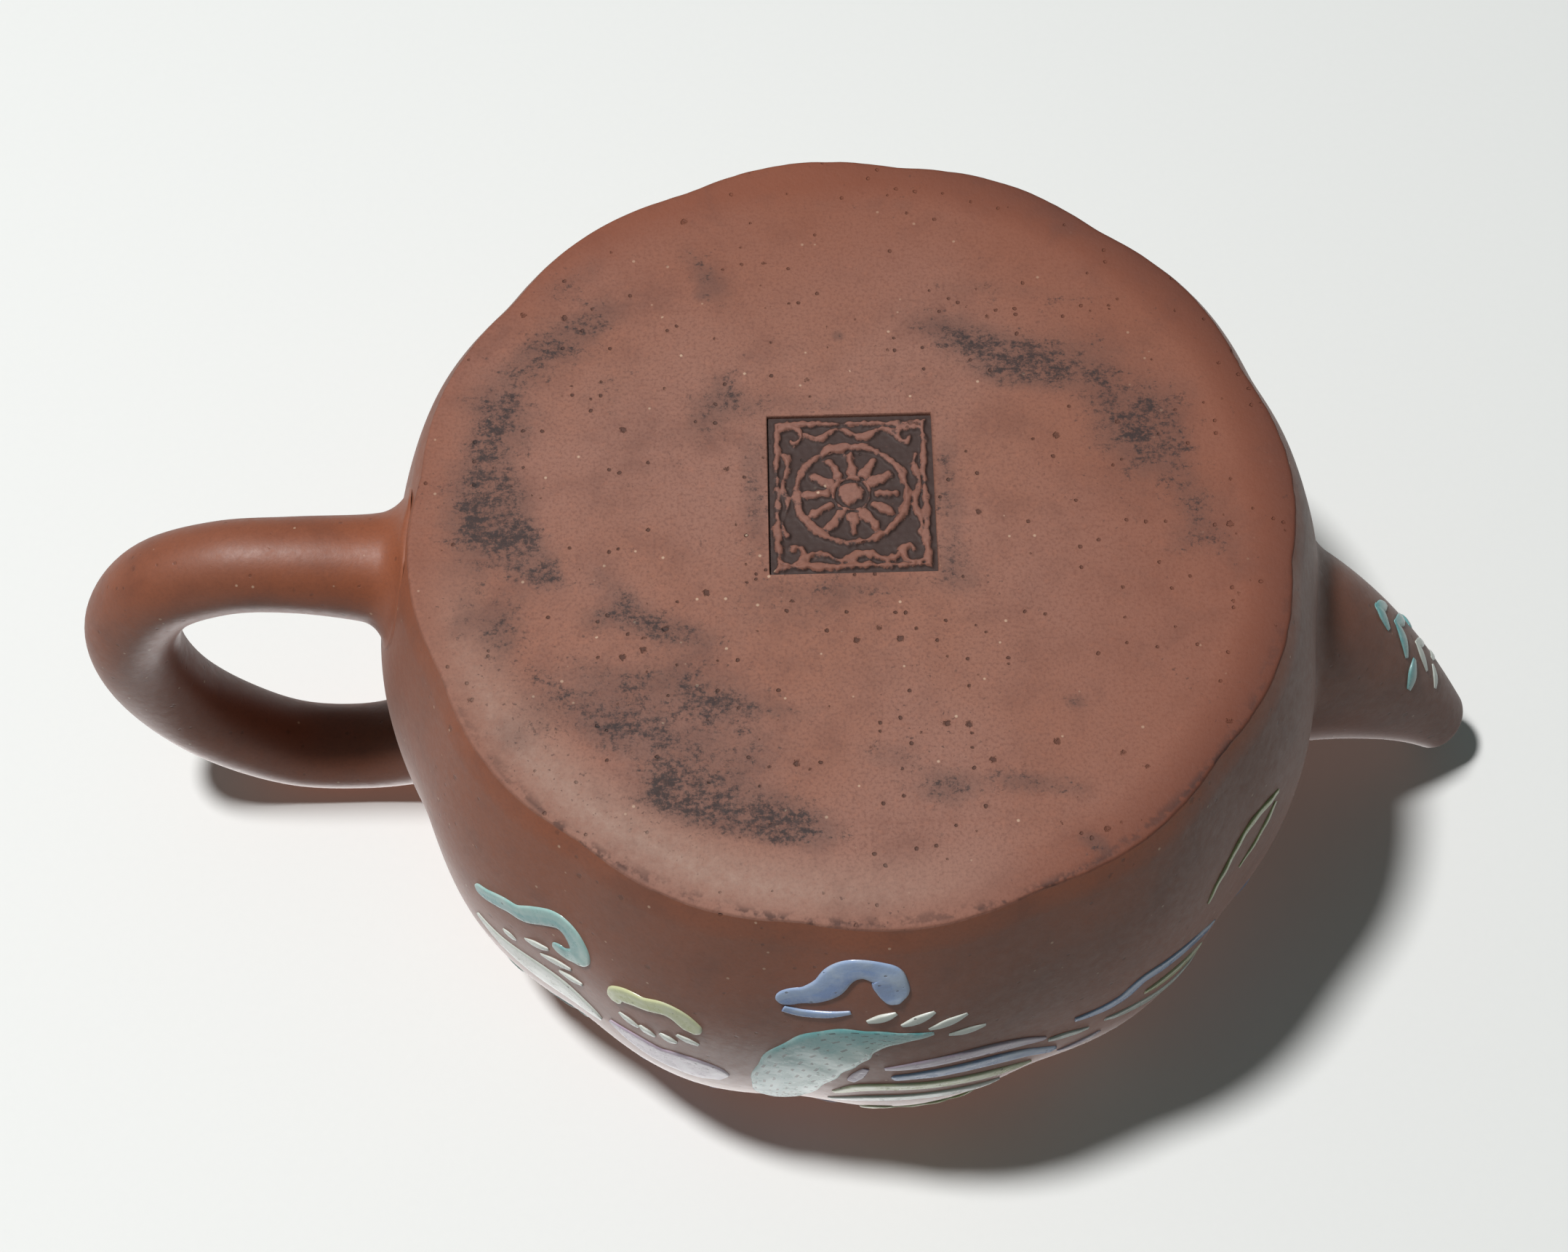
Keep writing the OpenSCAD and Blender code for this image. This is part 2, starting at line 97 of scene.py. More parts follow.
def skin(a, z, k):
    """A point on the body at angle a and height z, lifted by k along the normal."""
    g = slope(z)
    n = np.sqrt(1 + g * g)
    r = body_r(z) + body_amp(z) * (scallop(np.asarray(a) - TURN, soft_at(z)) - 0.64) + k / n
    t = np.radians(a)
    return np.stack([r * np.cos(t), r * np.sin(t), z - k * g / n], -1)


def wobble(x, y, z, size, seed):
    """Smooth noise from a few sine waves, about -1 to 1, for hand-made unevenness."""
    rng = np.random.RandomState(seed)
    s = np.zeros_like(np.asarray(x, float))
    for _ in range(9):
        k = rng.normal(size=3)
        k *= rng.uniform(0.6, 1.5) * 2 * math.pi / size / np.linalg.norm(k)
        s = s + np.sin(k[0] * x + k[1] * y + k[2] * z + rng.uniform(0, 6.28))
    return s / 4.5


def catmull(points, steps):
    """Catmull-Rom curve through rows of numbers, steps between neighbours."""
    p = np.asarray(points, float)
    out = []
    for i in range(len(p) - 1):
        a, b, c, d = p[max(i - 1, 0)], p[i], p[i + 1], p[min(i + 2, len(p) - 1)]
        for s in range(steps):
            t = s / steps
            out.append(0.5 * (2 * b + (c - a) * t + (2 * a - 5 * b + 4 * c - d) * t * t + (3 * b - a - 3 * c + d) * t**3))
    out.append(p[-1])
    return np.array(out)


def rounded(profile, radius=0.5, steps=4):
    """A closed or open outline with each corner cut to a small curve. Rows are [r, z, lobe]."""
    p = np.asarray(profile, float)
    n = len(p)
    out = []
    for i in range(n):
        a, b, c = p[i - 1], p[i], p[(i + 1) % n]
        la, lc = np.linalg.norm((a - b)[:2]), np.linalg.norm((c - b)[:2])
        ra, rc = min(radius, la * 0.45), min(radius, lc * 0.45)
        s, e = b + (a - b) * ra / la, b + (c - b) * rc / lc
        for j in range(steps + 1):
            t = j / steps
            out.append((1 - t) ** 2 * s + 2 * t * (1 - t) * b + t * t * e)
    return np.array(out)


def fine(profile, most, closed=True):
    """Adds points so that no two neighbours are further apart than most."""
    p = np.asarray(profile, float)
    out = []
    for i in range(len(p) if closed else len(p) - 1):
        a, b = p[i], p[(i + 1) % len(p)]
        k = max(1, int(math.ceil(np.linalg.norm((b - a)[:2]) / most)))
        out += [a + (b - a) * j / k for j in range(k)]
    if not closed:
        out.append(p[-1])
    return np.array(out)


# ---- meshes -------------------------------------------------------------------

PARTS = []


def add_mesh(name, verts, faces, material, body, sharp=35, colours=None, values=None):
    me = bpy.data.meshes.new(name)
    me.from_pydata((np.asarray(verts) * MM).tolist(), [], faces)
    me.validate()
    me.polygons.foreach_set("use_smooth", [True] * len(me.polygons))
    for key, data in (values or {}).items():
        me.attributes.new(key, "FLOAT", "POINT").data.foreach_set("value", np.asarray(data, np.float32))
    for key, data in (colours or {}).items():
        rgba = np.concatenate([np.asarray(data, np.float32), np.ones((len(data), 1), np.float32)], 1)
        me.attributes.new(key, "FLOAT_COLOR", "POINT").data.foreach_set("color", rgba.ravel())
    me.set_sharp_from_angle(angle=math.radians(sharp))
    ob = bpy.data.objects.new(name, me)
    bpy.context.scene.collection.objects.link(ob)
    me.materials.append(material)
    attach(ob, body)
    PARTS.append(ob)
    return ob


def lattice(m, n, loop, caps, flip=False):
    """Faces of m rings of n points, wrapped round; loop joins the last ring to the first."""
    f = []
    for i in range(m if loop else m - 1):
        k = (i + 1) % m
        for j in range(n):
            h = (j + 1) % n
            f.append((i * n + j, i * n + h, k * n + h, k * n + j))
    if caps and not loop:
        f.append(tuple(range(n - 1, -1, -1)))
        f.append(tuple((m - 1) * n + j for j in range(n)))
    return [tuple(reversed(q)) for q in f] if flip else f


def ring(r, z, amp, n=N, soft=0.1):
    a = np.arange(n) * 360.0 / n
    q = r + amp * (scallop(a, soft) - 0.64)
    t = np.radians(a + TURN)
    return np.stack([q * np.cos(t), q * np.sin(t), np.full(n, z)], -1)


def turned(profile, n=N, soft=0.1):
    """Rings of a lobed closed outline."""
    return np.array([ring(p[0], p[1], p[2], n, soft) for p in profile])


def swell(v, amount, size, seed):
    """Small unevenness of thrown and paddled clay, pushed out from the axis."""
    w = wobble(v[..., 0], v[..., 1], v[..., 2], size, seed) * amount
    r = np.hypot(v[..., 0], v[..., 1]) + 1e-6
    out = v.copy()
    out[..., 0] += v[..., 0] / r * w
    out[..., 1] += v[..., 1] / r * w
    return out


# ---- materials ------------------------------------------------------------------


def lin(r, g, b):
    """Linear colour of an sRGB one given as 0 to 255."""
    return tuple(((c / 255) / 12.92 if c <= 10.3 else ((c / 255 + 0.055) / 1.055) ** 2.4) for c in (r, g, b)) + (1.0,)


class Nodes:
    """A thin helper for node trees."""

    def __init__(self, name):
        self.mat = bpy.data.materials.new(name)
        self.mat.use_nodes = True
        self.t = self.mat.node_tree
        self.t.nodes.clear()
        self.out = self.add("ShaderNodeOutputMaterial")

    def add(self, kind, **props):
        n = self.t.nodes.new(kind)
        for k, v in props.items():
            setattr(n, k, v)
        return n

    def put(self, socket, value):
        if isinstance(value, bpy.types.NodeSocket):
            self.t.links.new(value, socket)
        elif isinstance(value, tuple) and len(value) == 3 and socket.type == "RGBA":
            socket.default_value = value + (1.0,)
        else:
            socket.default_value = value

    def coords(self):
        return self.add("ShaderNodeTexCoord").outputs["Object"]

    def mapping(self, vec, scale=(1, 1, 1), rot=(0, 0, 0), loc=(0, 0, 0)):
        n = self.add("ShaderNodeMapping")
        self.put(n.inputs["Vector"], vec)
        n.inputs["Scale"].default_value = scale
        n.inputs["Rotation"].default_value = rot
        n.inputs["Location"].default_value = loc
        return n.outputs["Vector"]

    def noise(self, vec, scale, detail=4, rough=0.55, dist=0.0, lac=2.0):
        n = self.add("ShaderNodeTexNoise")
        self.put(n.inputs["Vector"], vec)
        n.inputs["Scale"].default_value = scale
        n.inputs["Detail"].default_value = detail
        n.inputs["Roughness"].default_value = rough
        n.inputs["Distortion"].default_value = dist
        n.inputs["Lacunarity"].default_value = lac
        return n.outputs["Fac"]

    def voronoi(self, vec, scale, feature="F1", rand=1.0):
        n = self.add("ShaderNodeTexVoronoi", feature=feature)
        self.put(n.inputs["Vector"], vec)
        n.inputs["Scale"].default_value = scale
        n.inputs["Randomness"].default_value = rand
        return n

    def math(self, op, a, b=0.0, c=None, clamp=False):
        n = self.add("ShaderNodeMath", operation=op, use_clamp=clamp)
        self.put(n.inputs[0], a)
        self.put(n.inputs[1], b)
        if c is not None:
            self.put(n.inputs[2], c)
        return n.outputs[0]

    def step(self, x, lo, hi):
        """0 below lo, 1 above hi, smooth between."""
        n = self.add("ShaderNodeMapRange", interpolation_type="SMOOTHSTEP")
        self.put(n.inputs["Value"], x)
        n.inputs["From Min"].default_value = lo
        n.inputs["From Max"].default_value = hi
        return n.outputs["Result"]

    def range(self, x, a, b, c, d):
        n = self.add("ShaderNodeMapRange")
        self.put(n.inputs["Value"], x)
        for k, v in zip(("From Min", "From Max", "To Min", "To Max"), (a, b, c, d)):
            n.inputs[k].default_value = v
        return n.outputs["Result"]

    def mix(self, fac, a, b, blend="MIX"):
        n = self.add("ShaderNodeMix", data_type="RGBA", blend_type=blend)
        self.put(n.inputs[0], fac)
        self.put(n.inputs[6], a)
        self.put(n.inputs[7], b)
        return n.outputs[2]

    def attr(self, name, out="Fac"):
        return self.add("ShaderNodeAttribute", attribute_name=name).outputs[out]

    def sep(self, vec):
        n = self.add("ShaderNodeSeparateXYZ")
        self.put(n.inputs[0], vec)
        return n.outputs

    def bump(self, height, distance, strength=1.0, normal=None):
        n = self.add("ShaderNodeBump")
        self.put(n.inputs["Height"], height)
        n.inputs["Distance"].default_value = distance
        n.inputs["Strength"].default_value = strength
        if normal is not None:
            self.put(n.inputs["Normal"], normal)
        return n.outputs["Normal"]


def clay(name, body, warm, dark, rough=(0.5, 0.68), grain=1.0, pits=1.0, specks=1.0, base=False, seal=False,
         spec=0.42, sheen=0.0, inside=False):
    """Unglazed purple-brown clay: fine sandy grain, pits, pale specks and slow colour drift."""
    g = Nodes(name)
    p = g.coords()
    big = g.noise(p, 32, 3, 0.5)
    mid = g.noise(p, 140, 4, 0.6)
    tiny = g.noise(p, 2600, 3, 0.6)
    sand = g.noise(p, 900, 5, 0.68)
    colour = g.mix(g.step(big, 0.38, 0.66), body, warm)
    colour = g.mix(g.math("MULTIPLY", g.step(mid, 0.45, 0.75), 0.35), colour, dark)
    # grain by grain variation
    colour = g.mix(g.math("MULTIPLY", g.step(tiny, 0.42, 0.72), 0.30 * grain), colour, dark)
    colour = g.mix(g.math("MULTIPLY", g.step(sand, 0.52, 0.8), 0.22 * grain), colour, tuple(min(1, c * 1.5) for c in warm[:3]))
    rough_v = g.range(sand, 0.3, 0.75, rough[0], rough[1])
    # pits: a few cells of two cell patterns, dark and sunk
    height = g.math("MULTIPLY", tiny, 0.35)
    height = g.math("ADD", height, g.math("MULTIPLY", sand, 0.65))
    for scale, keep, size in ((420, 0.93, 0.2), (900, 0.9, 0.26)):
        v = g.voronoi(p, scale)
        cell = g.sep(v.outputs["Color"])
        pick = g.math("GREATER_THAN", cell[0], keep)
        dist = g.math("ADD", v.outputs["Distance"], g.math("MULTIPLY", g.math("SUBTRACT", tiny, 0.5), 0.35))
        hole = g.math("MULTIPLY", pick, g.math("SUBTRACT", 1.0, g.step(dist, size * 0.5, size)))
        hole = g.math("MULTIPLY", hole, pits)
        colour = g.mix(g.math("MULTIPLY", hole, 0.75), colour, tuple(c * 0.3 for c in dark[:3]))
        height = g.math("SUBTRACT", height, g.math("MULTIPLY", hole, 1.6))
    # pale grog and mica specks
    v = g.voronoi(g.mapping(p, loc=(0.3, 0.1, 0.7)), 1100)
    cell = g.sep(v.outputs["Color"])
    pick = g.math("GREATER_THAN", cell[1], 0.972)
    speck = g.math("MULTIPLY", pick, g.math("SUBTRACT", 1.0, g.step(v.outputs["Distance"], 0.12, 0.26)))
    speck = g.math("MULTIPLY", speck, specks)
    colour = g.mix(g.math("MULTIPLY", speck, 0.8), colour, lin(214, 186, 160))
    if base:
        smudge, orange, wear_and_highlight = g.attr("smudge"), g.attr("orange"), g.attr("wear_and_highlight")
        colour = g.mix(g.math("MULTIPLY", orange, 0.88), colour, lin(131, 75, 55))
        # painted shade: the outer band of the base is darkened on the side turned away from the key light
        colour = g.mix(g.math("MULTIPLY", g.attr("painted_edge_shade"), 0.68), colour, lin(88, 50, 40))
        # painted highlight where the worn, rounded edge catches the light, laid on grainy
        colour = g.mix(g.math("MULTIPLY", wear_and_highlight, g.range(sand, 0.3, 0.7, 0.35, 0.85)), colour, lin(168, 142, 130))
        # broad grey-brown staining
        stain = g.noise(g.mapping(p, loc=(0.02, 0.05, 0)), 75, 5, 0.62, 0.4)
        colour = g.mix(g.math("MULTIPLY", g.step(stain, 0.5, 0.72), 0.38), colour, lin(96, 62, 54))
        # a grey haze, then ink-dark smudges that catch on the grain
        haze = g.math("ADD", smudge, g.math("MULTIPLY", g.math("SUBTRACT", g.noise(p, 190, 5, 0.65), 0.5), 1.1))
        colour = g.mix(g.math("MULTIPLY", g.step(haze, 0.12, 1.0), 0.42), colour, lin(84, 66, 62))
        fine_grain = g.noise(p, 1500, 4, 0.8)
        brushed = g.noise(g.mapping(p, scale=(1.0, 3.2, 1.0), rot=(0, 0, 0.3)), 240, 6, 0.78)
        patch = g.noise(g.mapping(p, loc=(0.11, 0.03, 0)), 330, 4, 0.7)
        dry = g.math("ADD", g.math("MULTIPLY", g.math("SUBTRACT", fine_grain, 0.5), 3.8),
                     g.math("MULTIPLY", g.math("SUBTRACT", brushed, 0.5), 2.5))
        dry = g.math("ADD", dry, g.math("MULTIPLY", g.math("SUBTRACT", patch, 0.5), 2.6))
        dry = g.math("ADD", dry, smudge)
        ink = g.step(dry, 0.66, 1.75)
        colour = g.mix(g.math("MULTIPLY", ink, 0.84), colour, lin(42, 39, 41))
        # dirt caught along the edge
        catch = g.math("MULTIPLY", g.attr("rim"), g.step(g.noise(p, 520, 3, 0.6), 0.44, 0.58))
        colour = g.mix(g.math("MULTIPLY", catch, 0.8), colour, lin(70, 48, 44))
        # peppering of small dark dots where the base has picked up dirt
        pep = g.noise(p, 1700, 2, 0.5)
        zone = g.step(g.noise(g.mapping(p, loc=(0.4, 0.2, 0)), 45, 3, 0.6), 0.46, 0.66)
        dots = g.math("MULTIPLY", g.step(pep, 0.64, 0.72), zone)
        colour = g.mix(g.math("MULTIPLY", dots, 0.6), colour, lin(62, 44, 42))
        # long fine scratches
        for rot, sc in ((0.5, 9), (2.2, 7), (1.2, 5)):
            line = g.noise(g.mapping(p, scale=(sc, 330, 1), rot=(0, 0, rot)), 1.0, 2, 0.5, 0.25)
            cut = g.math("MULTIPLY", g.step(line, 0.70, 0.745), 0.1)
            colour = g.mix(cut, colour, lin(110, 66, 54))
            height = g.math("SUBTRACT", height, g.math("MULTIPLY", cut, 0.8))
        height = g.math("ADD", height, g.math("MULTIPLY", g.noise(p, 160, 3, 0.5), 0.9))
        rough_v = g.math("ADD", rough_v, g.math("MULTIPLY", wear_and_highlight, 0.1))
    if seal:
        deep = g.attr("deep")
        grime = g.math("ADD", deep, g.math("MULTIPLY", g.math("SUBTRACT", g.noise(p, 1100, 4, 0.7), 0.5), 1.7))
        colour = g.mix(g.math("MULTIPLY", g.step(grime, 0.25, 0.62), 0.9), colour, lin(52, 43, 42))
    if inside:
        # the inner faces are darkened
        low = g.step(g.math("MULTIPLY", g.sep(p)[2], 1000.0), 58.0, 30.0)
        colour = g.mix(g.math("MULTIPLY", g.attr("inner"), 0.45), colour, lin(70, 42, 32))
        del low
    b = g.add("ShaderNodeBsdfPrincipled")
    g.put(b.inputs["Base Color"], colour)
    g.put(b.inputs["Roughness"], rough_v)
    b.inputs["Specular IOR Level"].default_value = spec
    b.inputs["Sheen Weight"].default_value = sheen
    b.inputs["Sheen Roughness"].default_value = 0.4
    g.put(b.inputs["Normal"], g.bump(height, 0.00006 * grain, 0.9))
    g.put(g.out.inputs["Surface"], b.outputs[0])
    return g.mat


def enamel(name, dashes=False):
    """Opaque raised enamel: glossy, slightly uneven, the colour laid on by the stroke."""
    g = Nodes(name)
    p = g.coords()
    paint, across, along = g.attr("paint", "Color"), g.attr("across"), g.attr("along")
    cloudy = g.noise(p, 420, 4, 0.6)
    colour = g.mix(g.math("MULTIPLY", g.step(cloudy, 0.42, 0.72), 0.28), paint, lin(226, 231, 226))
    # thin where the edge dips, so a little clay shows through
    edge = g.step(g.math("ADD", g.math("ABSOLUTE", across), g.math("MULTIPLY", g.math("SUBTRACT", cloudy, 0.5), 0.12)), 0.88, 0.99)
    colour = g.mix(g.math("MULTIPLY", edge, 0.5), colour, lin(96, 70, 60))
    # pin holes
    v = g.voronoi(p, 1500)
    pick = g.math("GREATER_THAN", g.sep(v.outputs["Color"])[0], 0.95)
    hole = g.math("MULTIPLY", pick, g.math("SUBTRACT", 1.0, g.step(v.outputs["Distance"], 0.15, 0.3)))
    colour = g.mix(g.math("MULTIPLY", hole, 0.6), colour, lin(84, 70, 66))
    if dashes:
        # short dark ticks laid along the stroke, in staggered rows
        row = g.math("MULTIPLY", across, 4.5)
        cell = g.math("FLOOR", row)
        shift = g.math("MULTIPLY", g.math("FRACT", g.math("MULTIPLY", cell, 0.377)), 1.0)
        run = g.math("ADD", g.math("MULTIPLY", along, 16.0), shift)
        tick = g.math("MULTIPLY", g.math("LESS_THAN", g.math("FRACT", run), 0.38),
                      g.math("LESS_THAN", g.math("ABSOLUTE", g.math("SUBTRACT", g.math("FRACT", row), 0.5)), 0.16))
        keep = g.step(g.noise(p, 700, 2, 0.5), 0.42, 0.5)
        tick = g.math("MULTIPLY", tick, keep)
        colour = g.mix(g.math("MULTIPLY", tick, 0.8), colour, lin(44, 58, 60))
    b = g.add("ShaderNodeBsdfPrincipled")
    g.put(b.inputs["Base Color"], colour)
    g.put(b.inputs["Roughness"], g.range(cloudy, 0.3, 0.7, 0.22, 0.38))
    b.inputs["Specular IOR Level"].default_value = 0.5
    b.inputs["Coat Weight"].default_value = 0.15
    b.inputs["Coat Roughness"].default_value = 0.12
    h = g.math("ADD", g.math("MULTIPLY", cloudy, 1.0), g.math("MULTIPLY", g.noise(p, 1300, 2, 0.5), 0.25))
    g.put(b.inputs["Normal"], g.bump(g.math("SUBTRACT", h, hole), 0.00012, 0.8))
    g.put(g.out.inputs["Surface"], b.outputs[0])
    return g.mat


CLAY_WALL = clay("clay_wall", lin(127, 78, 59), lin(137, 79, 55), lin(94, 58, 47), rough=(0.46, 0.6), grain=0.7, pits=0.45,
                 specks=0.5, spec=0.45, sheen=0.06, inside=True)
CLAY_HANDLE = clay("clay_handle", lin(133, 79, 58), lin(141, 80, 54), lin(98, 58, 46), rough=(0.44, 0.58), grain=0.7, pits=0.4,
                   specks=0.6, spec=0.45, sheen=0.06)
CLAY_SPOUT = clay("clay_spout", lin(120, 76, 61), lin(128, 78, 58), lin(92, 58, 48), rough=(0.46, 0.6), grain=0.7, pits=0.4,
                  specks=0.5, spec=0.42, sheen=0.06)
CLAY_LID = clay("clay_lid", lin(130, 80, 63), lin(138, 82, 60), lin(98, 60, 50), rough=(0.46, 0.62), grain=0.8, pits=0.5,
                specks=0.6, spec=0.42, sheen=0.06)
CLAY_BASE = clay("clay_base", lin(147, 104, 90), lin(145, 98, 81), lin(106, 69, 60), rough=(0.62, 0.82), grain=1.7, pits=1.0,
                 specks=0.7, spec=0.32, base=True)
CLAY_SEAL = clay("clay_seal", lin(138, 96, 84), lin(134, 90, 76), lin(100, 66, 58), rough=(0.6, 0.8), grain=1.1, pits=0.7,
                 specks=0.8, spec=0.32, seal=True)
ENAMEL = enamel("enamel")
ENAMEL_TICKS = enamel("enamel_ticks", dashes=True)

# ---- base ----------------------------------------------------------------------

# Smudges on the base: [x, y, half length, half width, turn in degrees, weight]
SMUDGES = [
    (42, 3, 6.5, 4.2, 110, 1.15), (38.5, -2, 4.5, 3.0, 60, 1.2), (35, -6, 3.0, 1.6, 40, 0.9), (39.5, -13, 2.6, 4.4, 10, 0.85),
    (44, -11, 1.6, 4.5, 15, 0.6), (40, 15, 4.0, 4.5, 60, 0.7), (36, 23, 6.5, 3.0, -35, 0.85), (30, 28, 5.0, 2.2, -35, 0.7),
    (16.5, 34, 1.7, 4.5, 150, 0.8), (26, -9.5, 1.4, 5.0, 135, 0.75), (21, -14, 6.5, 2.0, 15, 0.85), (28.5, -12, 3.0, 1.4, -30, 0.6),
    (14, -36, 8.5, 2.8, 12, 1.2), (8, -38.5, 5.0, 2.0, 8, 0.9), (20, -34, 4.0, 2.2, 20, 0.9), (-9, -34, 3.4, 2.2, 5, 0.95),
    (-16.5, -33.5, 2.6, 1.3, 5, 0.95), (-14, 24.5, 6.5, 2.6, 25, 1.05), (-22.5, 20.5, 6.0, 2.2, 22, 1.0), (-18, 31, 8.0, 1.6, 8, 0.5),
    (-31, 13, 4.5, 4.0, 40, 0.7), (-34, 8, 5.0, 4.0, 60, 0.72), (-39, 1.5, 5.0, 3.0, 80, 0.62), (16.5, 14, 3.0, 4.0, 30, 0.7),
    (14, 18, 2.4, 3.0, 0, 0.6), (15, -24, 7.0, 4.0, 40, 0.6), (24, -26, 5.0, 4.0, 30, 0.5), (-25, -41, 2.2, 1.0, 35, 1.0),
    (11, 3.5, 1.8, 9.0, 0, 0.75), (-11, 3, 1.8, 9.0, 0, 0.7), (1, -9, 9.0, 1.6, 0, 0.65), (3, 15.6, 8.0, 1.4, 0, 0.5),
    (-3, 44, 9.0, 1.2, 2, 0.35), (24, -20, 9.0, 2.2, 12, 0.62), (30, -24, 7.0, 3.0, 30, 0.55), (18, -29, 9.0, 2.6, 18, 0.6),
    (37, -26, 3.0, 6.0, 40, 0.5), (-28, 22, 6.0, 4.0, 30, 0.6), (-37, 14, 4.0, 5.0, 30, 0.62), (-40, -4, 3.0, 6.0, 80, 0.4), (-18, 19, 4.0, 1.8, 10, 0.8),
    (33, 33, 5.0, 2.0, -40, 0.6), (28, 18, 3.0, 4.0, 20, 0.5), (42, 10, 2.0, 6.0, 10, 0.6), (-12, -7, 3.0, 2.4, 20, 0.6), (6, -12, 8.0, 2.0, 5, 0.4),
    (-22, -34, 3.0, 1.4, 10, 0.6), (-4, -30, 5.0, 2.0, 4, 0.45), (12, -24, 8.0, 1.2, 4, 0.5), (-24, -24, 1.2, 0.9, 0, 0.9), (17, 31, 1.0, 0.8, 0, 0.7), (1, 25, 0.7, 0.7, 0, 1.0),
]


def blobs(x, y, table):
    s = np.zeros_like(x)
    for bx, by, lx, ly, turn, w in table:
        t = math.radians(turn)
        u = ((x - bx) * math.cos(t) + (y - by) * math.sin(t)) / lx
        v = (-(x - bx) * math.sin(t) + (y - by) * math.cos(t)) / ly
        s = s + w * np.exp(-(u * u + v * v) * 0.75)
    return np.clip(s, 0, 1.25)


def rect_ring(n, hx, hy, z, turn=TURN):
    """n points on the seal panel's outline, one for each direction from its centre."""
    t = np.radians(np.arange(n) * 360.0 / n + turn)
    c, s = np.cos(t), np.sin(t)
    k = np.minimum(hx / np.maximum(np.abs(c), 1e-9), hy / np.maximum(np.abs(s), 1e-9))
    return np.stack([SEAL[0] + k * c, SEAL[1] + k * s, np.full(n, z)], -1)


def build_base():
    rings = []
    inner = float(body_r(BASE_T)) - WALL
    for r in np.linspace(1.0, inner, 24):
        rings.append(ring(r, BASE_T, 0.4 * r / inner))
    rings.append(ring(float(body_r(BASE_T)), BASE_T, float(body_amp(BASE_T)), soft=soft_at(BASE_T)))
    for z in (2.8, 2.3, 1.8, 1.4, 1.0, 0.7, 0.5, 0.36):
        rings.append(ring(edge_r(z), z, float(body_amp(z)), soft=soft_at(z)))
    side_rows = len(rings) - 1
    e = edge_r(0.3)
    for d, z in ((0.02, 0.26), (0.08, 0.15), (0.18, 0.07), (0.34, 0.02)):
        rings.append(ring(e - d, z, BASE_LOBE))
    edge_from = len(rings)
    outer = ring(e - 0.6, 0.0, BASE_LOBE)
    hole = rect_ring(N, SEAL[2] / 2 + 0.2, SEAL[3] / 2 + 0.2, 0.0)
    K = 64
    for k in range(K + 1):
        s = k / K
        s = s if s < 0.5 else s
        r = outer * (1 - s) + hole * s
        rings.append(r)
    for out, z in ((0.1, 0.05), (0.03, 0.16), (0.0, 0.35), (0.0, 0.9)):
        rings.append(rect_ring(N, SEAL[2] / 2 + out, SEAL[3] / 2 + out, z))
    v = np.array(rings)
    # worn and slightly chipped edge
    m = edge_from
    w = wobble(v[m - 12:m, :, 0], v[m - 12:m, :, 1], v[m - 12:m, :, 2], 3.0, 4) + 0.7 * wobble(
        v[m - 12:m, :, 0], v[m - 12:m, :, 1], v[m - 12:m, :, 2], 1.1, 5)
    rad = np.hypot(v[m - 12:m, :, 0], v[m - 12:m, :, 1])
    fall = np.array([0, 0.1, 0.25, 0.4, 0.6, 0.8, 1, 1, 0.9, 0.7, 0.4, 0.2])[:, None]
    k = 1 - np.clip(w, -0.3, 1.4) * 0.07 * fall / rad
    v[m - 12:m, :, 0] *= k
    v[m - 12:m, :, 1] *= k
    # a shallow unevenness of the flat face, all of it at or above the plane it stands on
    flat = v[m:m + K + 1]
    lift = 0.05 + 0.05 * wobble(flat[..., 0], flat[..., 1], flat[..., 2], 26, 8)
    rr = np.hypot(flat[..., 0], flat[..., 1])
    lift = np.clip(lift, 0, 0.1) * np.clip((R0 - 1.6 - rr) / 4, 0, 1)
    flat[..., 2] += lift
    # the corners of the panel stay square
    n = N
    faces = lattice(len(v), n, False, False)
    verts = v.reshape(-1, 3)
    faces.append(tuple(range(n - 1, -1, -1)))
    x, y, z = verts[:, 0], verts[:, 1], verts[:, 2]
    r = np.hypot(x, y)
    face = np.clip((0.6 - z) / 0.4, 0, 1)
    smudge = blobs(x, y, SMUDGES) * face
    orange = np.clip(0.9 * np.clip((-x - 12) / 38, 0, 1) + 0.8 * np.clip((y - 22) / 26, 0, 1) + 0.45 * np.clip((r - 44) / 6, 0, 1), 0, 1) * face
    around = np.degrees(np.arctan2(y, x))
    # painted highlight where the worn, rounded edge catches the light; the same band is also made a little rougher as
    # wear
    wear_and_highlight = np.clip(1 - np.abs(r - 46.5) / 5.5, 0, 1) * np.clip(np.cos(np.radians(around + 58)) * 2.4 - 1.4, 0, 1) * face
    rim = np.exp(-((r - 49.8) / 0.45) ** 2) * np.clip(np.cos(np.radians(around + 95)) * 1.6 - 0.2, 0.12, 1) * (z < 0.5)
    # painted shade on the outer band of the base, on the side turned away from the key light
    painted_edge_shade = np.clip((r - 44.5) / 5.5, 0, 1) * np.clip(np.cos(np.radians(around - 172)) * 1.5, 0, 1) * face
    ob = add_mesh("pot_base", verts, faces, CLAY_BASE, "pot", sharp=50,
                  values={"smudge": smudge, "orange": orange, "wear_and_highlight": wear_and_highlight, "rim": rim, "painted_edge_shade": painted_edge_shade, "inner": np.zeros(len(x))})
    ob.data.materials.append(CLAY_WALL)
    top = set(range(24 * N, (side_rows + 1) * N))
    for poly in ob.data.polygons:
        if all(q in top for q in poly.vertices):
            poly.material_index = 1
    return ob


def seg_dist(x, y, a, b):
    ax, ay = a
    bx, by = b
    dx, dy = bx - ax, by - ay
    t = np.clip(((x - ax) * dx + (y - ay) * dy) / (dx * dx + dy * dy + 1e-12), 0, 1)
    return np.hypot(x - ax - t * dx, y - ay - t * dy)


